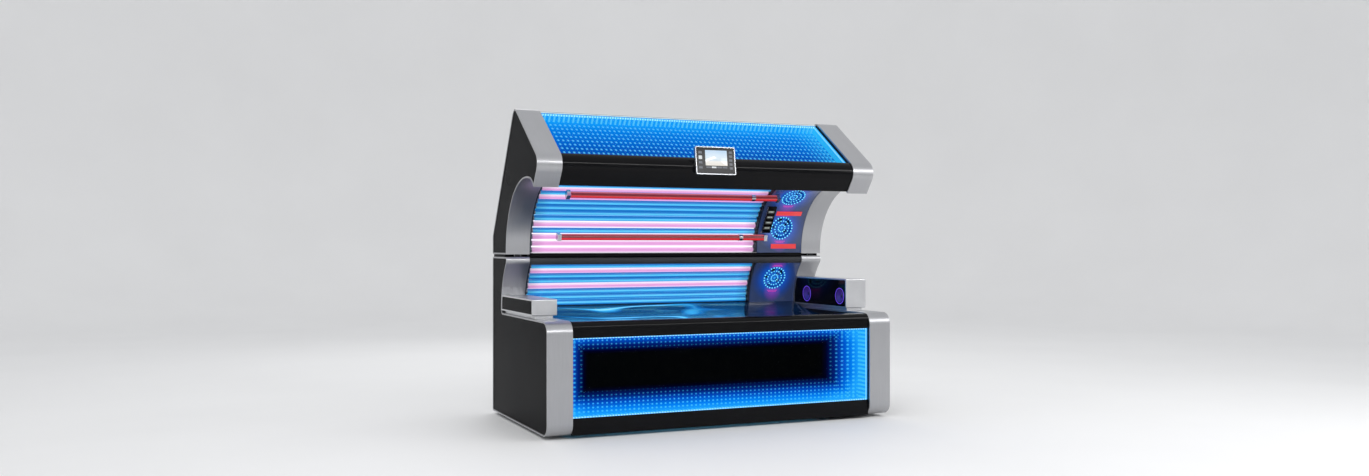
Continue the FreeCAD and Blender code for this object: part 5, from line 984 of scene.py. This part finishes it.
def visor_edge():
    """A painted pale glow along the top edge of the visor glass."""
    bm = bmesh.new()
    section = [(VISOR_CORNER[0] + along * VISOR_COS - rise * VISOR_SIN,
                VISOR_CORNER[1] + along * VISOR_SIN + rise * VISOR_COS)
               for along, rise in GLOWING_EDGE]
    sweep_along_x(bm, section, -EDGE_HALF, EDGE_HALF)
    piece("visor_glass_edge", bm, [EDGE_GLOW], "canopy")


tunnel_lamps()
fan_lights()
fan_glints()
display()
speaker_rings()
seals()
screws()
louvre_hoods()
visor_edge()


# ---- Stage, light and camera -----------------------------------------------------------------

# The studio: radius of the flat floor, radius of the sweep up from it, and the wall's top.
FLAT_RADIUS, SWEEP_RADIUS, WALL_TOP = 10.0, 4.0, 9.0

# Area lights: name, place, the point it faces, its sides and its watts.
LIGHTS = (
    ("key", (-3.2, -5.2, 4.6), (0.0, -0.1, 0.9), (3.4, 2.6), 90.0),
    ("strip", (2.0, -5.6, 3.56), (0.6, -0.6, 1.4), (6.4, 0.32), 85.0),
    ("fill", (4.6, -3.8, 3.0), (0.2, 0.0, 0.9), (2.6, 2.6), 40.0),
    ("rim", (0.5, 5.0, 4.2), (0.0, 0.3, 1.0), (4.0, 2.4), 60.0))

# The photo's camera, fitted to the machine's corners: place, turn about Z, lens and shifts.
CAMERA_PLACE, CAMERA_TURN = (-3.182, -7.055, 1.1626), -23.98
CAMERA_LENS, CAMERA_SHIFT = 29.86, (0.00095, 0.00465)


def stage():
    """A round pale studio: a floor that sweeps up into a wall on every side."""
    bm = bmesh.new()
    profile = [(0.0, 0.0), (0.0, FLAT_RADIUS / 2), (0.0, FLAT_RADIUS)]
    for turn in (math.radians(a) for a in range(10, 91, 10)):
        profile.append((SWEEP_RADIUS - SWEEP_RADIUS * math.cos(turn),
                        FLAT_RADIUS + SWEEP_RADIUS * math.sin(turn)))
    profile.append((WALL_TOP, FLAT_RADIUS + SWEEP_RADIUS))
    lathe(bm, Matrix.Identity(4), profile, segments=96)
    bmesh.ops.recalc_face_normals(bm, faces=bm.faces)
    bmesh.ops.reverse_faces(bm, faces=bm.faces)
    mesh = bpy.data.meshes.new("floor")
    bm.to_mesh(mesh)
    bm.free()
    for polygon in mesh.polygons:
        polygon.use_smooth = True
    floor = bpy.data.objects.new("floor", mesh)
    bpy.context.scene.collection.objects.link(floor)
    paint = Paint("floor_paint", Roughness=0.6, Specular_IOR_Level=0.2)
    cloud = paint.noise(0.8, 4.0)
    paint.set(Base_Color=paint.mix(paint.span(cloud, *NOISE_RANGE, 0.0, 1.0), grey(0.84),
                                   grey(0.86)))
    mesh.materials.append(paint.mat)


def studio_world():
    """Even, faintly cool light from all around."""
    world = bpy.data.worlds.new("studio")
    bpy.context.scene.world = world
    world.use_nodes = True
    back = world.node_tree.nodes["Background"]
    back.inputs["Color"].default_value = (0.97, 0.98, 1.0, 1.0)
    back.inputs["Strength"].default_value = 0.85


def area_light(name, place, aim, size, energy):
    """A rectangular light at a place, turned to face a point."""
    light = bpy.data.lights.new(name, "AREA")
    light.shape = "RECTANGLE"
    light.size, light.size_y = size
    light.energy = energy
    obj = bpy.data.objects.new(name, light)
    bpy.context.scene.collection.objects.link(obj)
    obj.location = place
    obj.rotation_euler = (Vector(aim) - Vector(place)).to_track_quat("-Z", "Y").to_euler()


def photo_camera():
    """The level camera that sees the machine as the photo does."""
    data = bpy.data.cameras.new("camera")
    data.sensor_width = 36.0
    data.lens = CAMERA_LENS
    data.shift_x, data.shift_y = CAMERA_SHIFT
    data.clip_end = 200.0
    camera = bpy.data.objects.new("camera", data)
    bpy.context.scene.collection.objects.link(camera)
    camera.location = CAMERA_PLACE
    camera.rotation_euler = (math.radians(90.0), 0.0, math.radians(CAMERA_TURN))
    bpy.context.scene.camera = camera


stage()
studio_world()
for light_facts in LIGHTS:
    area_light(*light_facts)
photo_camera()
bpy.context.scene.view_settings.view_transform = "Standard"
